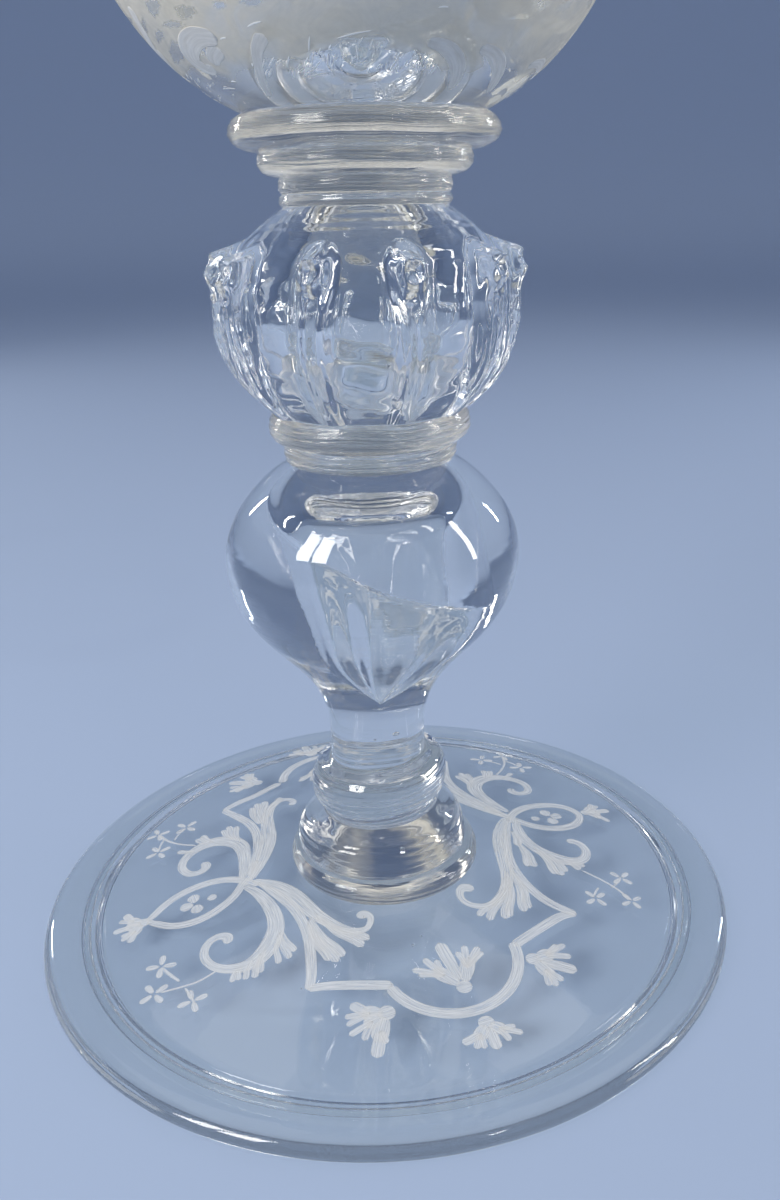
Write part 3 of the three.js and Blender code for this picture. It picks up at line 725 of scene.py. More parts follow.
class Surface:
    """A face to engrave: at() puts flat pattern points on it, and facing() gives its outward directions."""

    def __init__(self, at, facing):
        self.at, self.facing, self.parts = at, facing, []

    def stroke(self, points, turn=lambda p: p, steps=STROKE_STEPS):
        """Adds one stroke through points (x, y, width), put in place by turn."""
        curve = through(points, steps)
        flat = turn(curve[:, :2])
        line = self.at(flat)
        self.parts.append(ribbon(line, curve[:, 2], self.facing(flat), len(self.parts) % ORDERS))

    def finger(self, root, tip, width, turn):
        """A tapered stroke that swells towards its round tip, slightly bent."""
        root, tip = np.asarray(root, float), np.asarray(tip, float)
        middle = (root + tip) / 2 + np.array([tip[1] - root[1], root[0] - tip[0]]) * 0.05
        swell = root + (tip - root) * 0.82
        points = [(*root, width * 0.35), (*middle, width * 0.85), (*swell, width), (*tip, width * 0.9)]
        self.stroke(points, turn, 4)

    def petals(self, middle, headings, length, width, turn):
        """Short round strokes that leave one middle in the given headings, in degrees."""
        for heading in np.radians(headings):
            way = np.array([np.cos(heading), np.sin(heading)])
            inner, belly, end = (np.asarray(middle) + way * length * s for s in (0.12, 0.6, 1.0))
            self.stroke([(*inner, width * 0.5), (*belly, width), (*end, width * 0.75)], turn, 4)

    def palmette(self, bulb, leaves, turn):
        """A round bulb; leaves run from it to the ends of their bodies, and fingers from inside those."""
        x, y, width = bulb
        root = np.array([x, y], float)
        self.stroke([(x + width / 2 * s, y, width) for s in (-1, 0, 1)], turn, 8)
        for (*end, wide), tips in leaves:
            way = np.array(end) - root
            points = [(*(root + way * 0.15), wide * 0.6), (*(root + way * 0.6), wide * 1.1), (*end, wide)]
            self.stroke(points, turn, 6)
            inside = root + way * 0.62
            for *tip, thick in tips:
                middle = inside + (np.array(tip) - inside) * 0.55 + (end - inside) * 0.12
                self.stroke([(*inside, thick), (*middle, thick * 1.2), (*tip, thick * 1.1)], turn, 5)

    def quarter(self, data, turn, steps=STROKE_STEPS, flowers=True):
        """All that the data of one quarter holds."""
        for points in data["strokes"]:
            self.stroke(points, turn, steps)
        for root, tip, width in data["fingers"]:
            self.finger(root, tip, width, turn)
        for middle, heading, length in data["flowers"] if flowers else ():
            self.petals(middle, [heading + 90 * k for k in range(4)], length, length * PETAL_SHARE, turn)
        for bulb, leaves in data["palmettes"]:
            self.palmette(bulb, leaves, turn)

    def piece(self, name, material):
        """All the strokes as one object, with their own coordinates as its UV map."""
        piece = write_mesh(name, [part[:3] for part in self.parts], [material], settle)
        own = np.vstack([part[3] for part in self.parts])
        corners = np.zeros(len(piece.data.loops), np.int32)
        piece.data.loops.foreach_get("vertex_index", corners)
        layer = piece.data.uv_layers.new(name="strokes")
        layer.data.foreach_set("uv", (own[corners] * UV_SCALE).ravel())
        return piece


def quarter(side, outwards):
    """Turns a quarter's own frame into the foot's: side -1 is left, 1 right; outwards 1 is front, -1 back."""
    out = np.array([math.cos(PATTERN_HEADING), math.sin(PATTERN_HEADING)])
    across = np.array([-out[1], out[0]]) * side
    return lambda p: np.asarray(PATTERN_MIDDLE) + p[:, :1] * across + p[:, 1:2] * out * outwards


def on_foot(flat):
    """The points of the foot's upper face at flat (x, y)."""
    return np.column_stack([flat, foot_top(np.hypot(flat[:, 0], flat[:, 1]))])


def foot_facing(flat):
    """The outward directions there, from the slope of foot_top."""
    radius = np.hypot(flat[:, 0], flat[:, 1])
    slope = foot_top(radius - 0.5) - foot_top(radius + 0.5)
    way = np.column_stack([flat * (slope / radius)[:, None], np.ones(len(flat))])
    return way / np.linalg.norm(way, axis=1, keepdims=True)


# The bowl's face, as the way s round it, in mm at BOWL_TURN_RADIUS, and the way h up along its outline
BOWL_TURN_RADIUS = 30.0
# Clear places in the ground, each s, h, half width, half height, turn in degrees and how clear it is
CLEAR_PLACES = [
    (-1.5, 8.6, 6.8, 3.3, 8, 0.9), (-13.0, 7.3, 6.5, 1.7, 5, 0.55), (8.5, 7.6, 4.0, 1.8, -10, 0.6),
    (-38.0, 6.3, 11.0, 3.7, 0, 0.95), (-33.0, 12.4, 4.4, 1.2, 12, 0.75), (-26.0, 11.4, 1.2, 0.5, 10, 0.8),
    (23.5, 6.8, 5.8, 1.1, -38, 0.7), (13.2, 9.2, 3.4, 0.8, -40, 0.6), (44.0, 6.0, 7.0, 3.3, 0, 0.9),
    (-23.5, 17.0, 1.9, 0.9, 0, 0.8), (-17.5, 17.1, 1.0, 0.5, 0, 0.7), (-13.0, 17.1, 1.5, 0.6, 0, 0.7),
    (-29.2, 18.6, 2.0, 1.0, 15, 0.75), (-27.4, 15.9, 2.6, 0.5, -8, 0.7), (-33.6, 15.2, 2.4, 0.6, 10, 0.7),
    (24.5, 17.5, 1.5, 0.8, 0, 0.5), (30.0, 18.2, 1.7, 0.8, 20, 0.5), (22.0, 15.6, 1.9, 0.4, 10, 0.5),
    (-37.0, 17.0, 3.2, 0.7, 14, 0.6), (-43.0, 19.5, 3.0, 0.8, -12, 0.6), (38.0, 20.5, 2.4, 0.8, -18, 0.5),
    (-30.0, 22.5, 3.6, 1.1, 24, 0.6), (6.0, 22.0, 3.0, 1.0, -20, 0.5), (18.0, 24.5, 3.4, 0.9, 16, 0.5),
]
GROUND_TOP = 35.0
GROUND_LIFT = 0.006
GROUND_STEPS = 700
# Rows of the ground are close together up to this way along the bowl, and further apart above it
FINE_TOP = 22
FINE_ROWS = 0.23
COARSE_ROWS = 0.5
SCAR_LIFT = 0.02
SCAR_COVER = 0.62
# Share of the ground's density left on the back of the bowl: painted shade for the less lit back
BACK_SHADE_SHARE = 0.3
HAZE = 0.24
GROUND_COVER = 0.56


def bowl_profile(h):
    """Radius and level of the bowl's outer face at the ways h along it, and its outward direction there."""
    line = bowl_outer()
    run = np.concatenate([[0], np.cumsum(np.hypot(*np.diff(line, axis=0).T))])
    r, z = np.interp(h, run, line[:, 0]), np.interp(h, run, line[:, 1])
    dr = np.interp(h + 0.5, run, line[:, 0]) - np.interp(h - 0.5, run, line[:, 0])
    dz = np.interp(h + 0.5, run, line[:, 1]) - np.interp(h - 0.5, run, line[:, 1])
    size = np.hypot(dr, dz)
    return r, z, dz / size, -dr / size


def on_bowl(flat):
    """The points of the bowl's outer face at (s, h): (r sin a, -r cos a, z) with a = s / radius."""
    r, z, _, _ = bowl_profile(flat[:, 1])
    angle = flat[:, 0] / BOWL_TURN_RADIUS
    return np.column_stack([r * np.sin(angle), -r * np.cos(angle), z])


def bowl_facing(flat):
    """The outward directions there."""
    _, _, out, up = bowl_profile(flat[:, 1])
    angle = flat[:, 0] / BOWL_TURN_RADIUS
    return np.column_stack([out * np.sin(angle), -out * np.cos(angle), up])


def ground_density(s, h):
    """How matte the bowl is at (s, h): a haze low down, a denser ground above it, and clear places with
    ragged edges. The pattern repeats after half a turn. Towards the back the ground is made thinner as
    painted shade, so the back, which is less lit, looks darker."""
    half = BOWL_TURN_RADIUS * math.pi
    # Painted shade: the ground thins from the front to the back, so that the back looks darker
    front = BACK_SHADE_SHARE + (1 - BACK_SHADE_SHARE) * smooth(np.cos(s / BOWL_TURN_RADIUS), -0.35, 0.35)
    s = (s + half / 2) % half - half / 2
    low_edge = 10.5 + 1.1 * np.sin(s * 0.31) + 0.6 * np.sin(s * 0.83 + 1)
    dense = HAZE + GROUND_COVER * smooth(h, low_edge - 4, low_edge)
    top_edge = GROUND_TOP + 3.0 * np.abs(np.sin(s * 6 / half * math.pi)) - 1.5
    kept = np.ones_like(dense)
    for place, level, wide, high, turned_by, clear in CLEAR_PLACES:
        c, q = math.cos(math.radians(turned_by)), math.sin(math.radians(turned_by))
        x, y = s - place, h - level
        a, b = (x * c + y * q) / wide, (y * c - x * q) / high
        way = np.arctan2(b, a)
        edge = 1 + 0.13 * np.sin(3 * way + place) + 0.10 * np.sin(7 * way + level)
        edge = edge + 0.05 * np.sin(12 * way - place)
        kept = kept * (1 - clear * (1 - smooth(np.hypot(a, b) / edge, 0.72, 1.12)))
    return dense * front * kept * (1 - smooth(h, top_edge - 0.6, top_edge + 0.3)) * smooth(h, 0.2, 1.0)


def ground_sheet():
    """The ground as an open sheet just outside the bowl, with its density at each point."""
    fine, coarse = np.arange(0.3, FINE_TOP, FINE_ROWS), np.arange(FINE_TOP, GROUND_TOP + 3, COARSE_ROWS)
    rows = np.concatenate([fine, coarse])
    round_bowl = np.arange(GROUND_STEPS) * TURN / GROUND_STEPS * BOWL_TURN_RADIUS
    grid_s, grid_h = np.meshgrid(round_bowl, rows)
    flat = np.column_stack([grid_s.ravel(), grid_h.ravel()])
    points = on_bowl(flat) + bowl_facing(flat) * GROUND_LIFT
    quads = ring_quads(len(rows), GROUND_STEPS)
    return (points, quads, NO_TRIANGLES), ground_density(grid_s, grid_h).ravel()


def pontil_mark():
    """The scar of the rod under the foot, as an open sheet just inside the glass, with its density at each
    point: a ring with a lobed edge, thinner in patches and on one side."""
    steps = 120
    edge = pontil_edge()
    rings = np.arange(0.6, PONTIL_RADIUS + 0.6, 0.25)
    radius, angle = np.meshgrid(rings, np.arange(steps) * TURN / steps, indexing="ij")
    level = np.interp(radius, edge[:, 0], edge[:, 1]) + SCAR_LIFT
    points = np.stack([radius * np.sin(angle), -radius * np.cos(angle), level], -1).reshape(-1, 3)
    lobed = radius + 0.6 * np.sin(3 * angle + 0.5) + 0.35 * np.sin(7 * angle)
    patches = 0.6 + 0.4 * np.sin(2 * angle + 1.1 * radius) * np.sin(1.7 * radius + 3 * angle)
    side = 0.7 + 0.3 * np.cos(angle - 0.9)
    dense = SCAR_COVER * smooth(lobed, 2.0, 4.2) * (1 - smooth(lobed, 6.6, 8.4)) * patches * side
    return (points, ring_quads(len(radius), steps), NO_TRIANGLES), dense.ravel()


# Strokes low on the bowl, as (s, h, width): a leaf and curls on both sides, a stem and blades in front
BOWL_LEAVES = [
    [(-21.0, 13.0, 2.4), (-24.6, 13.6, 3.2), (-28.0, 12.6, 3.4), (-30.0, 10.6, 3.0), (-28.6, 8.8, 2.2),
     (-26.8, 9.2, 1.2)],
    [(-22.0, 11.6, 2.6), (-24.6, 10.4, 2.2), (-25.6, 9.2, 1.6)],
    [(-36.0, 20.0, 2.2), (-39.0, 16.6, 2.4), (-43.0, 14.4, 2.2), (-47.0, 13.2, 1.6)],
    [(-40.0, 14.0, 1.6), (-44.0, 11.8, 1.8), (-48.0, 10.8, 1.2)],
    [(33.0, 9.4, 1.6), (37.0, 10.2, 1.8), (41.0, 9.4, 1.4), (44.0, 8.0, 0.9)],
]
BOWL_STROKES = BOWL_LEAVES + [
    [(-20.6, 2.4, 1.0), (-19.2, 5.0, 1.2), (-17.4, 7.8, 1.3), (-15.8, 10.4, 1.6), (-13.4, 12.8, 2.2)],
    [(9.0, 11.2, 1.4), (12.2, 10.4, 2.2), (15.2, 8.2, 2.4), (17.0, 5.6, 1.8), (17.8, 3.2, 0.9)],
    [(18.0, 10.8, 1.6), (21.6, 9.8, 2.2), (25.2, 7.6, 2.2), (28.0, 4.8, 1.6), (29.6, 3.2, 0.8)],
]
CUTS_SEED = 5
SHORT_CUTS = 84
# Longer cuts, as s, h, length and slant in degrees
LONG_CUTS = [
    (-29, 5.0, 3.2, -6), (-25.5, 6.1, 1.2, -8), (-8, 5.8, 4.2, 10), (-14, 14.2, 2.4, 12),
    (-20, 12.8, 1.2, 5), (-1, 12.1, 5.0, 12), (5.4, 7.2, 2.4, 96), (10, 15.8, 1.4, 5),
]
BELLY_SCALE = 0.78
BELLY_START = 40.0
BELLY_TURNS = 4
# The fans on the belly: how far up each starts, and its size
BELLY_FANS = ((4, 1.15), (32, 0.95))


def engrave_bowl():
    """Leaves low on the bowl in front and behind, a stem and blades in front, scrollwork round the belly."""
    bowl = Surface(on_bowl, bowl_facing)
    half = BOWL_TURN_RADIUS * math.pi
    for start in (0, half):
        for points in BOWL_STROKES if start == 0 else BOWL_LEAVES:
            bowl.stroke(points, lambda p: p + [start, 0])
    stretch = BOWL_TURN_RADIUS / BELLY_RADIUS
    for number in range(BELLY_TURNS):
        middle = (number + 0.5) * 2 * half / BELLY_TURNS
        for side in (-1, 1):
            bowl.quarter(BACK, lambda p: np.column_stack([
                middle + side * p[:, 0] * BELLY_SCALE * stretch,
                BELLY_START + p[:, 1] * BELLY_SCALE]), steps=4, flowers=False)
        x, y, _ = INNER_FAN[0]
        for level, size in BELLY_FANS:
            bowl.palmette(*INNER_FAN, lambda p: np.column_stack([
                middle + (p[:, 0] - x) * size * stretch,
                BELLY_START + level + (y - p[:, 1]) * size]))
    return bowl


def cut_bowl():
    """Fine bright wheel cuts low on the bowl, in front and behind: short ones in the clear places, and a few
    longer ones."""
    cuts = Surface(on_bowl, bowl_facing)
    chance = np.random.default_rng(CUTS_SEED)

    def cut(s, h, slant, length, bow, widths, steps):
        run = np.array([math.cos(slant), math.sin(slant)]) * length / 2
        for start in (0, BOWL_TURN_RADIUS * math.pi):
            line = ((s + start - run[0], h - run[1]), (s + start, h + bow), (s + start + run[0], h + run[1]))
            cuts.stroke([(*point, width) for point, width in zip(line, widths)], steps=steps)

    for number in range(SHORT_CUTS):
        place = CLEAR_PLACES[number % 4]
        s = place[0] + chance.uniform(-0.9, 0.9) * place[2]
        h = place[1] + chance.uniform(-0.7, 0.8) * place[3]
        slant, length = math.radians(chance.normal(62 + 12 * s / 10, 18)), chance.uniform(0.7, 2.8)
        cut(s, h, slant, length, 0, (0.1, 0.2, 0.08), 3)
    for s, h, length, slant in LONG_CUTS:
        cut(s, h, math.radians(slant), length, 0.1, (0.1, 0.22, 0.1), 4)
    return cuts


def engrave_foot():
    """Strapwork in four quarters: leaves, bands, scrolls, sprigs and palmettes, with arcs front and back."""
    foot = Surface(on_foot, foot_facing)
    for data, side, outwards in ((FRONT_LEFT, -1, 1), (FRONT_RIGHT, 1, 1), (BACK, -1, -1), (BACK, 1, -1)):
        foot.quarter(data, quarter(side, outwards))
    sides = ((LEFT_LOOP, LEFT_FLOWER, LEFT_TIP, -1), (RIGHT_LOOP, RIGHT_FLOWER, RIGHT_TIP, 1))
    for loops, middle, tip, side in sides:
        turn = quarter(side, 1)
        for points in loops:
            foot.stroke(points, turn)
        foot.petals(middle, (-90, 0, 90), 2.7, 2.2, turn)
        foot.petals((middle[0] - 1.8, middle[1]), (180,), 2.0, 1.7, turn)
        foot.palmette(*tip, turn)
    for outwards, shift in ((1, 0.9), (-1, -0.4)):
        turn = quarter(-1, outwards)
        curve = arc((shift, ARC_LEVEL), ARC_RADIUS, ARC_RADIUS, *ARC_ENDS, ARC_POINTS - 1)
        foot.stroke(np.column_stack([curve, np.full(ARC_POINTS, BAND)]), turn)
        foot.palmette(*INNER_FAN, turn)
        foot.palmette(*OUTER_FAN, turn)
    return foot


# Materials
def put(tree, kind, group=None, **values):
    """A shader node in the tree, with values on its own sockets, in whose names _ stands for a space."""
    node = tree.nodes.new(f"ShaderNode{kind}")
    if group is not None:
        node.node_tree = group
    for label, value in values.items():
        node.inputs[label.replace("_", " ")].default_value = value
    return node


def wire(tree, *pairs):
    """Links pairs of an output and an input."""
    for start, end in pairs:
        tree.links.new(start, end)


def new_material(name):
    """A material, its empty tree and its output's surface socket."""
    material = bpy.data.materials.new(name)
    material.use_nodes = True
    material.node_tree.nodes.clear()
    return material, material.node_tree, put(material.node_tree, "OutputMaterial").inputs["Surface"]


def new_group(name, numbers, result):
    """A group with a position, numbers with their start values, and one result; with its inner sockets."""
    group = bpy.data.node_groups.new(name, "ShaderNodeTree")
    group.interface.new_socket("Position", in_out="INPUT", socket_type="NodeSocketVector")
    for label, start in numbers:
        group.interface.new_socket(label, in_out="INPUT", socket_type="NodeSocketFloat").default_value = start
    group.interface.new_socket(result, in_out="OUTPUT", socket_type="NodeSocketFloat")
    return group, group.nodes.new("NodeGroupInput").outputs, group.nodes.new("NodeGroupOutput").inputs[result]


def striae_group():
    """Height of fine turned lines: noise along Z whose level drifts with slow noise over the surface."""
    numbers = (("Lines per metre", 900), ("Drift", 0.002))
    group, given, height = new_group("turned_striae", numbers, "Height")
    slow, split, drift = put(group, "TexNoise", Scale=55), put(group, "SeparateXYZ"), put(group, "Math")
    drift.operation = "MULTIPLY_ADD"
    lines = put(group, "TexNoise", Detail=3)
    lines.noise_dimensions = "1D"
    wire(group, (given["Position"], slow.inputs["Vector"]), (given["Position"], split.inputs[0]),
         (slow.outputs["Fac"], drift.inputs[0]), (given["Drift"], drift.inputs[1]),
         (split.outputs["Z"], drift.inputs[2]), (drift.outputs[0], lines.inputs["W"]),
         (given["Lines per metre"], lines.inputs["Scale"]), (lines.outputs["Fac"], height))
    return group


STRIAE = striae_group()


def glass(name, tint, roughness, lines, strength, shade):
    """Clear glass with turned lines. Lamp light and scattered light pass it straight, tinted by shade."""
    material, tree, surface = new_material(name)
    body = put(tree, "BsdfPrincipled", Base_Color=(*tint, 1), Roughness=roughness, IOR=1.5,
               Transmission_Weight=1)
    place, path = put(tree, "TexCoord"), put(tree, "LightPath")
    striae = put(tree, "Group", STRIAE, Lines_per_metre=lines)
    bump = put(tree, "Bump", Strength=strength, Distance=0.0002)
    clear = put(tree, "BsdfTransparent", Color=(*shade, 1))
    wire(tree, (place.outputs["Object"], striae.inputs["Position"]),
         (striae.outputs["Height"], bump.inputs["Height"]), (bump.outputs["Normal"], body.inputs["Normal"]))
    shown = body.outputs["BSDF"]
    for ray in ("Is Shadow Ray", "Is Diffuse Ray"):
        mix = put(tree, "MixShader")
        wire(tree, (path.outputs[ray], mix.inputs["Fac"]), (shown, mix.inputs[1]),
             (clear.outputs["BSDF"], mix.inputs[2]))
        shown = mix.outputs["Shader"]
    wire(tree, (shown, surface))
    return material


def fused_joint():
    """The joint of two pieces that were pressed together hot: no face is left there to see."""
    material, tree, surface = new_material("fused_joint")
    wire(tree, (put(tree, "BsdfTransparent", Color=(1, 1, 1, 1)).outputs["BSDF"], surface))
    return material


def streaks_group():
    """Long wheel marks: noise in a pattern's own coordinates, stretched along the stroke, between 0 and 1."""
    group, given, marks = new_group("wheel_marks", (("Along", 2), ("Across", 30)), "Marks")
    size, stretch = put(group, "CombineXYZ", Z=1), put(group, "VectorMath")
    stretch.operation = "MULTIPLY"
    noise = put(group, "TexNoise", Scale=1, Detail=3)
    wire(group, (given["Along"], size.inputs["X"]), (given["Across"], size.inputs["Y"]),
         (given["Position"], stretch.inputs[0]), (size.outputs[0], stretch.inputs[1]),
         (stretch.outputs[0], noise.inputs["Vector"]), (noise.outputs["Fac"], marks))
    return group


STREAKS = streaks_group()


def matte_cut(name, colour, least, most, along, across):
    """Ground glass: pale, rough and partly see-through, with wheel marks in how dense and how high it is."""
    material, tree, surface = new_material(name)
    body = put(tree, "BsdfPrincipled", Base_Color=(*colour, 1), Roughness=0.7, Specular_IOR_Level=0.3)
    place = put(tree, "UVMap")
    place.uv_map = "strokes"
    marks = put(tree, "Group", STREAKS, Along=along, Across=across)
    cover = put(tree, "MapRange", From_Min=0.3, From_Max=0.7, To_Min=least, To_Max=most)
    bump = put(tree, "Bump", Strength=0.5, Distance=0.0001)
    wire(tree, (place.outputs["UV"], marks.inputs["Position"]),
         (marks.outputs["Marks"], cover.inputs["Value"]), (cover.outputs["Result"], body.inputs["Alpha"]),
         (marks.outputs["Marks"], bump.inputs["Height"]),
         (bump.outputs["Normal"], body.inputs["Normal"]), (body.outputs["BSDF"], surface))
    return material


def rough_ground(name, colour):
    """A pale rough face, as dense as its attribute says, with clouds in it."""
    material, tree, surface = new_material(name)
    body = put(tree, "BsdfPrincipled", Base_Color=(*colour, 1), Roughness=0.6, Specular_IOR_Level=0.4)
    dense, place, alpha = put(tree, "Attribute"), put(tree, "TexCoord"), put(tree, "Math")
    dense.attribute_name = "ground_cover"
    alpha.operation = "MULTIPLY"
    clouds = put(tree, "TexNoise", Scale=160, Detail=5, Distortion=1.2)
    part = put(tree, "MapRange", From_Min=0.3, From_Max=0.7, To_Min=0.72, To_Max=1.25)
    bump = put(tree, "Bump", Strength=0.35, Distance=0.0001)
    wire(tree, (place.outputs["Object"], clouds.inputs["Vector"]),
         (clouds.outputs["Fac"], part.inputs["Value"]), (part.outputs["Result"], alpha.inputs[0]),
         (dense.outputs["Fac"], alpha.inputs[1]),
         (alpha.outputs[0], body.inputs["Alpha"]), (clouds.outputs["Fac"], bump.inputs["Height"]),
         (bump.outputs["Normal"], body.inputs["Normal"]), (body.outputs["BSDF"], surface))
    return material


MATTE = matte_cut("matte_cut", (0.82, 0.83, 0.84), 0.15, 0.64, 2, 60)
LEAF = matte_cut("matte_leaf", (0.84, 0.815, 0.76), 0.58, 0.84, 2, 22)
CUTS = matte_cut("bright_cuts", (1.0, 0.97, 0.90), 0.85, 1.0, 5, 20)
GROUND = rough_ground("frosted_ground", (0.69, 0.63, 0.51))
SCAR = rough_ground("rough_scar", (0.84, 0.77, 0.63))
CLEAR = glass("clear_glass", (0.94, 0.95, 0.94), 0.012, 700, 0.12, (0.94, 0.95, 0.945))
COLLAR = glass("collar_glass", (0.78, 0.73, 0.62), 0.05, 1700, 0.9, (0.91, 0.90, 0.86))
STEM = glass("stem_glass", (0.93, 0.915, 0.875), 0.02, 900, 0.12, (0.94, 0.945, 0.935))
BOWL = glass("bowl_glass", (0.95, 0.96, 0.955), 0.02, 500, 0.06, (0.96, 0.97, 0.965))
FUSED = fused_joint()


# Pieces
def add_piece(node, parts, material):
    """One glass piece in the place of a node of the frame, open at its joints."""
    piece = write_mesh(f"{node}_glass", parts, [material, FUSED], settle)
    open_joints(piece, joint_discs(parts, node))
    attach(piece, "root")
    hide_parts(node)


def turned(outline, swell=None, steps=TURN_STEPS):
    """A closed body turned from an outline."""
    return shell(revolve(outline, steps, swell))


def faded(node, size, seed, lines=0.0):
    """A ripple, and turned lines of the given height, that fade to nothing at both joints of a node."""
    low, high = levels(node)

    def swell(angle, radius, level):
        share = np.clip((level - low) / (high - low), 0, 1)
        phase = TURN * level / LINE_PITCH + 1.2 * np.sin(angle + seed) + 0.8 * np.sin(3 * angle)
        return (waver(angle, level, size, seed) + lines * np.sin(phase)) * (4 * share * (1 - share)) ** 0.7
    return swell


def hollow(outline, shift=0.0, folds=0.0, tilt=0.0):
    """A closed cavity: its outline runs down, so its faces look into the cavity. Further down it shifts
    sideways, has more folds, as r (1 + folds sin 5a ...), and tilts."""
    span = outline[0, 1] - outline[-1, 1]

    def swell(angle, radius, level):
        share = smooth((outline[0, 1] - level) / span, 0.15, 0.7)
        wave = 0.6 * np.sin(5 * angle + 1.1) + 0.4 * np.sin(9 * angle - 0.07 * level)
        return radius * folds * share * wave

    points, quads, triangles = shell(revolve(outline, HOLLOW_STEPS, swell))
    share = (outline[0, 1] - points[:, 2]) / span
    points[:, 2] += tilt * points[:, 0] * smooth(share, 0.05, 0.3)
    points[:, 0] += shift * share ** 2
    return points, quads, triangles


def bubble(x, y, z, size, stretch=1.0):
    """A seed: a small closed round cavity, size across and stretched upwards."""
    points, quads, triangles = shell(revolve(arc((0, 0), size / 2, size / 2 * stretch, 90, -90, 10), 20))
    return points + [x, y, z], quads, triangles


def trapped_ring(radius, level, wide, high):
    """The thin line of air that the folded rim closes in: a closed ring whose faces look into it."""
    around, steps = 256, 10
    a = np.arange(around)[:, None] * TURN / around
    c = -np.arange(steps)[None] * TURN / steps
    r = radius + wide / 2 * np.cos(c) + 0.12 * np.sin(3 * a + 0.8)
    points = np.stack(np.broadcast_arrays(r * np.cos(a), r * np.sin(a), level + high / 2 * np.sin(c)), -1)
    quads = ring_quads(around + 1, steps)[:, TURNED_ROUND] % (around * steps)
    return points.reshape(-1, 3), quads, NO_TRIANGLES


rim_air = trapped_ring(reach("foot") - FOLD_WIDTH + 1.9, level=1.75, wide=1.6, high=0.8)
seeds = [bubble(3.5, -24.0, 5.6, 0.5), bubble(5.0, -22.2, 5.8, 0.35), bubble(-14.0, -31.0, 4.4, 0.3)]
add_piece("foot", [turned(foot_outline()), rim_air, *seeds], CLEAR)
for node in WAISTS:
    body = turned(capped(collar_edge(node)), faded(node, 0.18, len(node), 0.05))
    add_piece(node, [body], COLLAR)
for node, edge, size, seed, lines, material, slot in (
    ("neck_ring", neck_ring_edge(), 0.15, 4, 0.04, COLLAR, "collar_glass"),
    ("stem_base", stem_base_edge(), 0.2, 5, 0.06, STEM, "clear_glass"),
    ("stem_ring", stem_ring_edge(), 0.25, 6, 0.05, STEM, "clear_glass"),
):
    add_piece(node, [turned(capped(edge), faded(node, size, seed, lines))], material)
baluster = turned(capped(baluster_edge()), faded("baluster", 0.15, 7))
tear = hollow(tear_outline(), TEAR_SHIFT, TEAR_FOLDS, TEAR_TILT)
seeds = [bubble(2.4, -3.0, 34.2, 1.0, 0.8), bubble(-0.4, -3.4, 33.4, 0.4), bubble(-8.0, -13.0, 70.0, 0.35)]
add_piece("baluster", [baluster, tear, *seeds], CLEAR)
knop = turned(capped(knop_edge()), knop_swell, KNOP_STEPS)
add_piece("ribbed_knop", [knop, hollow(cavity_outline())], CLEAR)
add_piece("bowl", [turned(bowl_outline())], BOWL)


def add_engraving(surface, name, material):
    """The strokes of a surface as a piece of their own."""
    piece = surface.piece(name, material)
    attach(piece, "root")


for name, (sheet, density), material, slot in (("bowl_ground", ground_sheet(), GROUND, "engraved_glass"),
                                               ("pontil_mark", pontil_mark(), SCAR, "clear_glass")):
    rough = write_mesh(name, [sheet], [material], settle)
    cover = rough.data.attributes.new("ground_cover", "FLOAT", "POINT")
    cover.data.foreach_set("value", density.astype(np.float32))
    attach(rough, "root")
add_engraving(engrave_foot(), "foot_engraving", MATTE)
add_engraving(engrave_bowl(), "bowl_engraving", LEAF)
add_engraving(cut_bowl(), "bowl_cuts", CUTS)


# Stage
FLOOR_COLOUR = (0.38, 0.47, 0.64)
FLOOR_RADIUS = 1.1
WALL_RADIUS = 1.9
WALL_HEIGHT = 2.2
LAMP_AIM = (0, 0, 0.1)
WARM = (1, 0.97, 0.92)


def make_stage():
    """A round pale floor that curves up into a wall, far enough out to walk a camera round the glass."""
    steps, corner = 96, (WALL_RADIUS, 0)
    bend_up = bend((FLOOR_RADIUS, 0), corner, corner, (WALL_RADIUS, WALL_RADIUS - FLOOR_RADIUS))
    line = np.vstack([(0.3, 0), bend_up, (WALL_RADIUS, WALL_HEIGHT)]) / MM
    angle = np.arange(steps) * TURN / steps
    across, up = line[:, :1], np.repeat(line[:, 1:], steps, axis=1)
    rings = np.stack([across * np.cos(angle), across * np.sin(angle), up], axis=-1)
    points = np.vstack([[(0, 0, 0)], rings.reshape(-1, 3)])
    ring = np.arange(steps)
    fan = np.column_stack([np.zeros(steps, int), ring + 1, (ring + 1) % steps + 1])
    material, tree, surface = new_material("pale_floor")
    body = put(tree, "BsdfPrincipled", Base_Color=(*FLOOR_COLOUR, 1), Roughness=0.9, Specular_IOR_Level=0.1)
    wire(tree, (body.outputs["BSDF"], surface))
    quads = ring_quads(len(rings), steps, 1)[:, TURNED_ROUND]
    floor = write_mesh("floor", [(points, quads, fan)], [material])


def add_lamp(name, where, width, height, power, colour=WARM):
    """A soft rectangular lamp, hidden from the camera, that looks at the stem from a point in metres."""
    data = bpy.data.lights.new(name, "AREA")
    data.shape = "RECTANGLE"
    data.size, data.size_y, data.energy, data.color = width, height, power, colour
    lamp = bpy.data.objects.new(name, data)
    bpy.context.scene.collection.objects.link(lamp)
    turn = (Vector(where) - Vector(LAMP_AIM)).to_track_quat("Z", "Y").to_matrix().to_4x4()
    lamp.matrix_world = Matrix.Translation(where) @ turn
    lamp.visible_camera = False


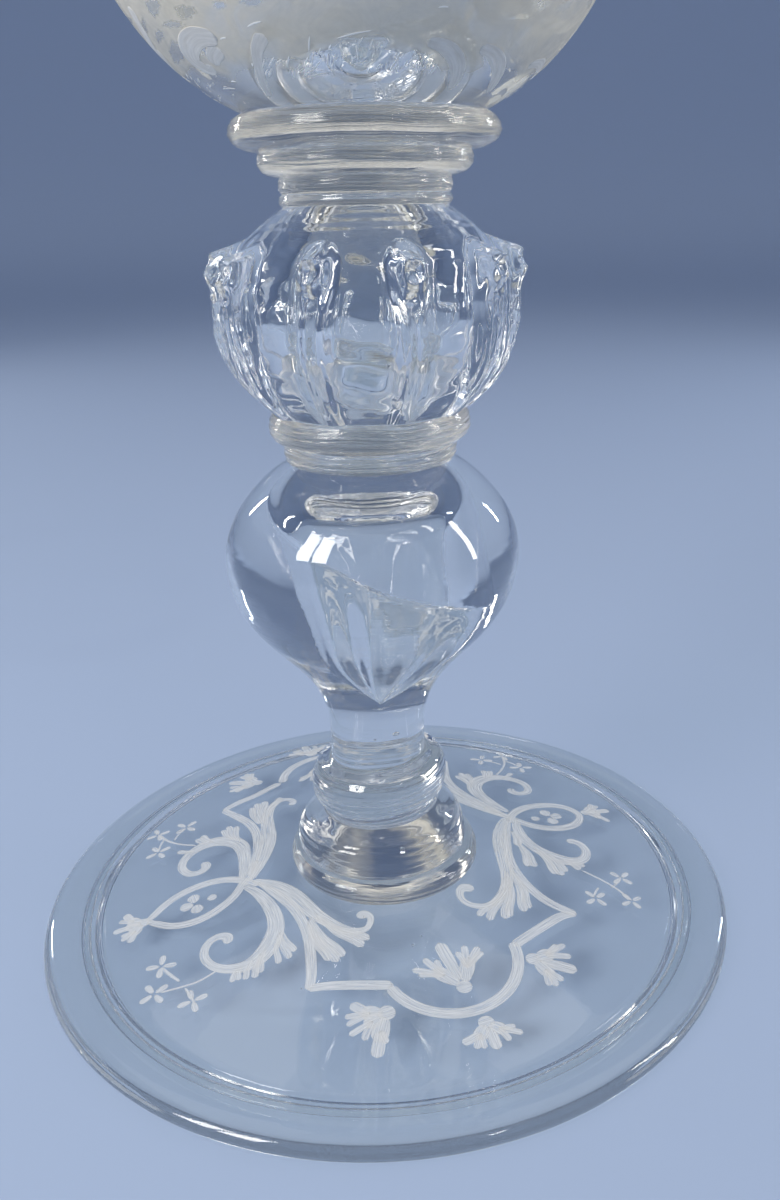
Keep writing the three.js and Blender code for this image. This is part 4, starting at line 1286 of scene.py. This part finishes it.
def make_light():
    """A window of four panes at the left, a strip at the right, a soft top, small lamps and a dim sky."""
    for number, (x, y) in enumerate(((-0.69, -0.43), (-0.56, -0.58))):
        for z in (0.48, 0.71):
            add_lamp(f"left_window_{number}_{round(z * 100)}", (x, y, z), 0.17, 0.20, 1.9)
    add_lamp("right_strip", (0.85, -0.12, 0.42), 0.07, 0.6, 2.6, (1, 0.94, 0.86))
    add_lamp("top_soft", (0.05, 0.30, 1.6), 1.8, 1.8, 5.0, (1, 1, 1))
    add_lamp("back_left", (-0.62, 0.62, 0.34), 0.03, 0.2, 0.8, (1, 0.96, 0.9))
    add_lamp("back_right", (0.7, 0.5, 0.30), 0.03, 0.2, 0.8, (0.9, 0.95, 1))
    add_lamp("high_right", (0.45, -0.75, 0.85), 0.10, 0.03, 0.8)
    world = bpy.data.worlds.new("studio")
    world.use_nodes = True
    world.node_tree.nodes["Background"].inputs["Color"].default_value = (0.75, 0.8, 0.88, 1)
    world.node_tree.nodes["Background"].inputs["Strength"].default_value = 0.36
    bpy.context.scene.world = world


# Camera: where the photograph was taken from, in millimetres and radians
CAMERA_BACK = 168.1
CAMERA_HEIGHT = 119.2
CAMERA_PITCH = 0.29425
CAMERA_ROLL = -0.02209
CAMERA_YAW = 0.05344
PHOTO_WIDTH = 780
PHOTO_HEIGHT = 1200
FOCAL_PIXELS = 1058.84
CENTRE_X = 429.9
CENTRE_Y = 532.8
SENSOR = 36.0


def make_camera():
    """Looks along yaw and pitch, turned by roll; the frame's centre is moved by the lens shift."""
    data = bpy.data.cameras.new("photo_camera")
    data.sensor_fit = "VERTICAL"
    data.sensor_height = data.sensor_width = SENSOR
    data.lens = FOCAL_PIXELS / PHOTO_HEIGHT * SENSOR
    data.shift_x = (PHOTO_WIDTH / 2 - CENTRE_X) / PHOTO_HEIGHT
    data.shift_y = (CENTRE_Y - PHOTO_HEIGHT / 2) / PHOTO_HEIGHT
    data.clip_start, data.clip_end = 0.01, 20
    flat = math.cos(CAMERA_PITCH)
    forward = Vector((math.sin(CAMERA_YAW) * flat, math.cos(CAMERA_YAW) * flat, -math.sin(CAMERA_PITCH)))
    right = Vector((math.cos(CAMERA_YAW), -math.sin(CAMERA_YAW), 0))
    up = right.cross(forward)
    side = math.cos(CAMERA_ROLL) * right + math.sin(CAMERA_ROLL) * up
    rise = math.cos(CAMERA_ROLL) * up - math.sin(CAMERA_ROLL) * right
    turn = Matrix((side, rise, -forward)).transposed().to_4x4()
    camera = bpy.data.objects.new("photo_camera", data)
    camera.matrix_world = Matrix.Translation((0, -CAMERA_BACK * MM, CAMERA_HEIGHT * MM)) @ turn
    bpy.context.scene.collection.objects.link(camera)
    bpy.context.scene.camera = camera


make_stage()
make_light()
make_camera()

scene = bpy.context.scene
scene.view_settings.view_transform = "Standard"
scene.cycles.max_bounces = 32
scene.cycles.transmission_bounces = 28
scene.cycles.transparent_max_bounces = 48
scene.cycles.glossy_bounces = 24

bpy.context.view_layer.update()
